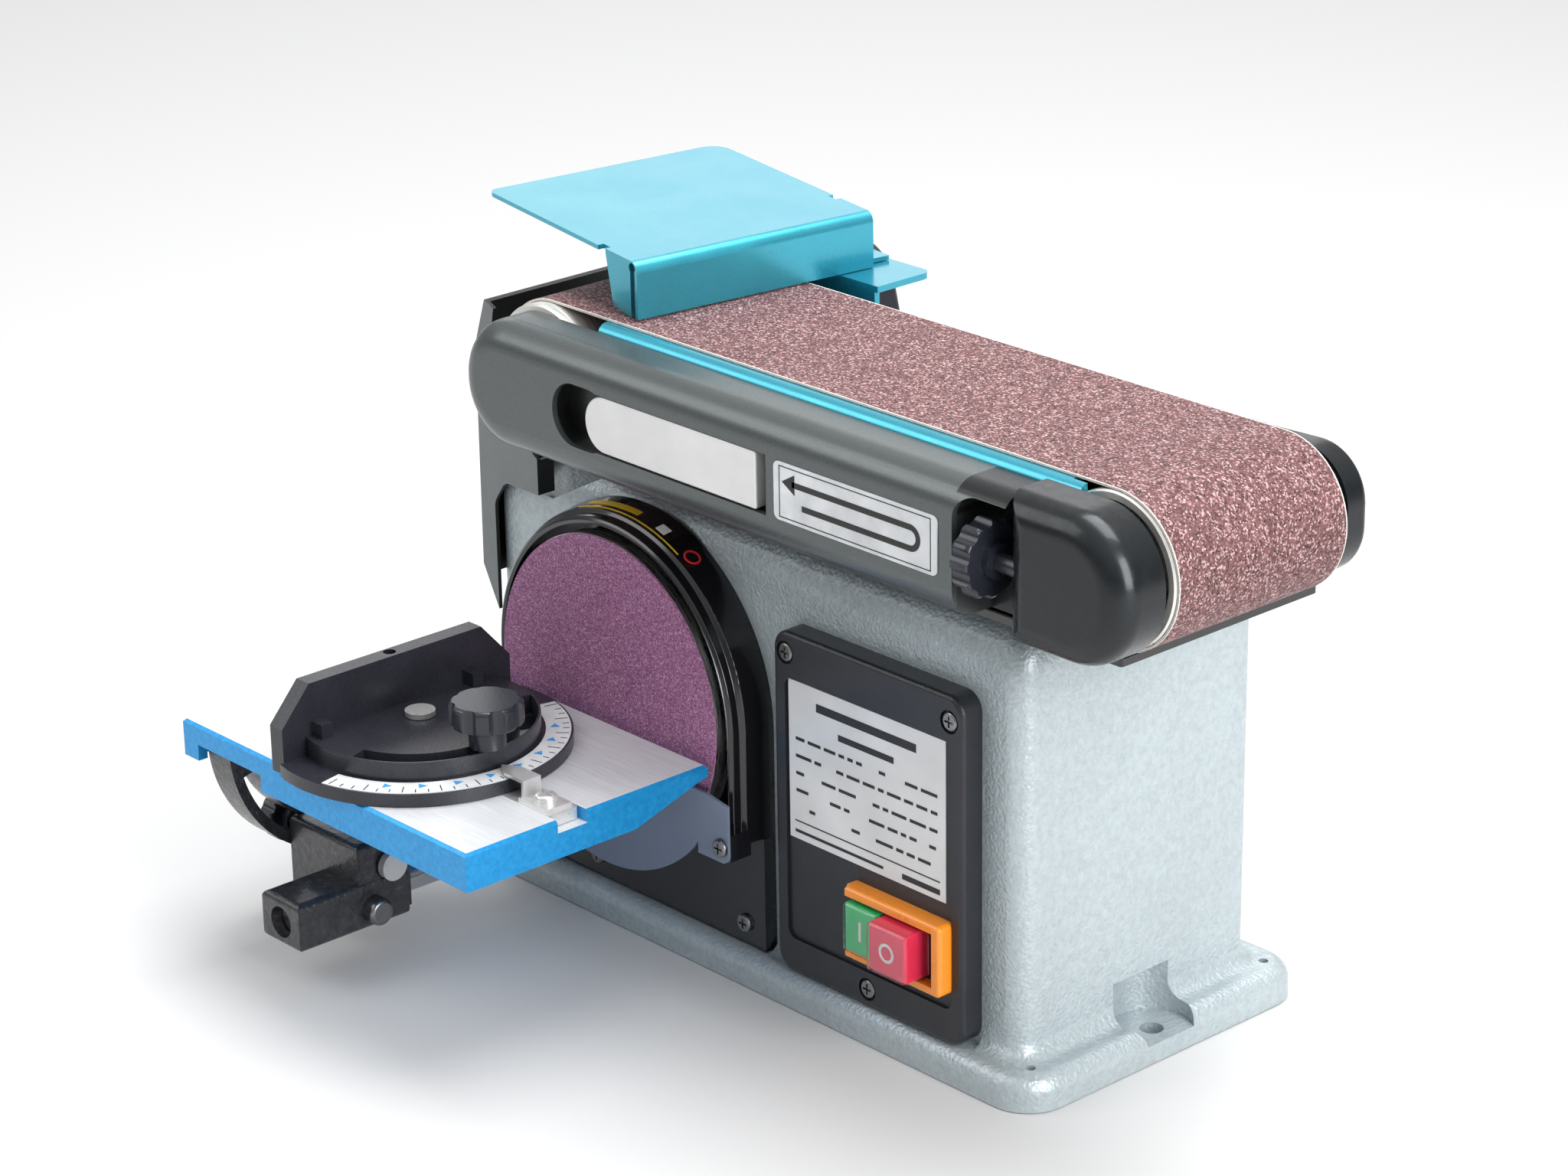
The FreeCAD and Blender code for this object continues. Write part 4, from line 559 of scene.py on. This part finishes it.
def gauge_marks():
    """Degree ticks and small triangles round the gauge's scale."""
    ticks, marks, middle = bmesh.new(), bmesh.new(), bmesh.new()
    low, high = GAUGE.z + 0.0067, GAUGE.z + 0.00685
    for step in range(-15, 16):
        angle = math.radians(step * 5.0)
        long = step % 3 == 0
        radius = 0.0612 if long else 0.0642
        made = slab(ticks, (radius, 0.0672), (-0.00022, 0.00022), (low, high))
        bmesh.ops.rotate(ticks, verts=made, cent=(0, 0, 0), matrix=Matrix.Rotation(angle, 3, "Z"))
        bmesh.ops.translate(ticks, verts=made, vec=(GAUGE.x, GAUGE.y, 0))
    for step in range(-4, 5):
        angle = math.radians(step * 15.0 + 7.5 * (1 if step < 0 else -1) if step else 0.0)
        target = middle if step == 0 else marks
        made = bmesh.ops.create_cone(target, cap_ends=True, segments=3, radius1=0.0026, radius2=0.0026,
                                     depth=0.00015)["verts"]
        bmesh.ops.translate(target, verts=made, vec=(0.0606, 0, (low + high) / 2))
        bmesh.ops.rotate(target, verts=made, cent=(0, 0, 0), matrix=Matrix.Rotation(angle, 3, "Z"))
        bmesh.ops.translate(target, verts=made, vec=(GAUGE.x, GAUGE.y, 0))
    piece("gauge_ticks", ticks, INK, "gauge_swivel")
    piece("gauge_triangles", marks, BLUE_INK, "gauge_swivel")
    piece("gauge_zero", middle, YELLOW_INK, "gauge_swivel")


def coil_spring():
    """The belt tension spring as a coil of wire, put in place of the plain tube."""
    bm = bmesh.new()
    start, end, turns, radius, wire = 0.0912, 0.1208, 9, 0.0055, 0.0009
    centre = Vector((start, -0.045, DRUM.z - 0.001))
    made = bmesh.ops.create_circle(bm, segments=8, radius=wire, cap_ends=False)["verts"]
    bmesh.ops.rotate(bm, verts=made, cent=(0, 0, 0), matrix=Matrix.Rotation(math.radians(90), 3, "X"))
    bmesh.ops.translate(bm, verts=made, vec=centre + Vector((0, 0, radius)))
    bmesh.ops.rotate(bm, verts=made, cent=centre + Vector((0, 0, radius)),
                     matrix=Matrix.Rotation(math.radians(90), 3, "Z"))
    steps = turns * 20
    edges = list({e for v in made for e in v.link_edges})
    bmesh.ops.spin(bm, geom=edges + made, cent=centre, axis=(1, 0, 0), angle=turns * math.tau, steps=steps,
                   dvec=((end - start) / steps, 0, 0), use_merge=False)
    bmesh.ops.holes_fill(bm, edges=[e for e in bm.edges if e.is_boundary], sides=8)
    spring = piece("tension_coil", bm, STEEL, "arm")
    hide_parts("tension_spring")
    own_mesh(spring)


rating_print()
direction_print()
key_marks()
clear_cap("start_boot", (0.0862, 0.1068), (-0.0985, -0.0890), (0.0475, 0.0705), "start_key")
clear_cap("stop_boot", (0.1078, 0.1312), (-0.1045, -0.0890), (0.0475, 0.0705), "stop_key")
guard_marks()
gauge_marks()
coil_spring()


# ---------------------------------------------------------------- stage, light, camera

def floor():
    """A plain pale floor just under the base."""
    bm = bmesh.new()
    bmesh.ops.create_grid(bm, x_segments=1, y_segments=1, size=12.0)
    mesh = bpy.data.meshes.new("studio_floor")
    bm.to_mesh(mesh)
    bm.free()
    mat = bpy.data.materials.new("pale_floor")
    mat.use_nodes = True
    shader = mat.node_tree.nodes["Principled BSDF"]
    shader.inputs["Base Color"].default_value = (0.62, 0.62, 0.62, 1.0)
    shader.inputs["Roughness"].default_value = 0.7
    mesh.materials.append(mat)
    obj = bpy.data.objects.new("studio_floor", mesh)
    bpy.context.scene.collection.objects.link(obj)
    obj.location.z = -0.0005


def lamp(name, place, target, size, power):
    data = bpy.data.lights.new(name, "AREA")
    data.shape = "RECTANGLE"
    data.size, data.size_y = size
    data.energy = power
    obj = bpy.data.objects.new(name, data)
    obj.location = place
    obj.rotation_euler = (Vector(target) - Vector(place)).to_track_quat("-Z", "Y").to_euler()
    bpy.context.scene.collection.objects.link(obj)


def studio():
    """A pale room, brighter overhead and to the left, with three soft lamps."""
    world = bpy.data.worlds.new("studio")
    bpy.context.scene.world = world
    world.use_nodes = True
    nodes, links = world.node_tree.nodes, world.node_tree.links
    back = nodes["Background"]
    back.inputs[1].default_value = 1.0
    coord = nodes.new("ShaderNodeTexCoord")
    split = nodes.new("ShaderNodeSeparateXYZ")
    ramp = nodes.new("ShaderNodeValToRGB")
    points = ramp.color_ramp.elements
    points[0].position, points[0].color = 0.0, (0.4, 0.4, 0.41, 1.0)
    points[1].position, points[1].color = 1.0, (0.9, 0.9, 0.9, 1.0)
    for where, tone in ((0.48, 0.34), (0.58, 0.26), (0.76, 0.62)):
        point = points.new(where)
        point.color = (tone, tone, tone * 1.01, 1.0)
    scale = nodes.new("ShaderNodeMapRange")
    scale.inputs["From Min"].default_value = -1.0
    links.new(coord.outputs["Generated"], split.inputs[0])
    links.new(split.outputs["Z"], scale.inputs["Value"])
    links.new(scale.outputs[0], ramp.inputs[0])
    links.new(ramp.outputs[0], back.inputs[0])
    lamp("front_light", (-1.3, -1.5, 1.5), (0.0, -0.05, 0.15), (1.3, 1.3), 13.0)
    lamp("side_light", (1.9, -0.2, 0.9), (0.1, 0.0, 0.15), (0.9, 1.4), 36.0)
    lamp("top_light", (0.1, 0.4, 2.2), (0.0, 0.0, 0.2), (1.8, 1.2), 50.0)
    lamp("back_light", (-2.0, 1.8, 1.25), (0.0, 0.0, 0.2), (2.2, 1.3), 9.0)


def camera():
    """A long lens at the free end's disc side, looking slightly down."""
    eye = Vector((1.3268, -1.2467, 0.8753))
    ahead = Vector((-0.6927, 0.6239, -0.3620)).normalized()
    right = Vector((0.6735, 0.7390, -0.0150))
    right = (right - ahead * right.dot(ahead)).normalized()
    up = right.cross(ahead)
    data = bpy.data.cameras.new("camera")
    data.sensor_width = 36.0
    data.lens = 97.74
    data.clip_end = 60.0
    obj = bpy.data.objects.new("camera", data)
    turn = Matrix((right, up, -ahead)).transposed().to_4x4()
    obj.matrix_world = Matrix.Translation(eye) @ turn
    bpy.context.scene.collection.objects.link(obj)
    bpy.context.scene.camera = obj


floor()
studio()
camera()
bpy.context.scene.view_settings.view_transform = "Standard"
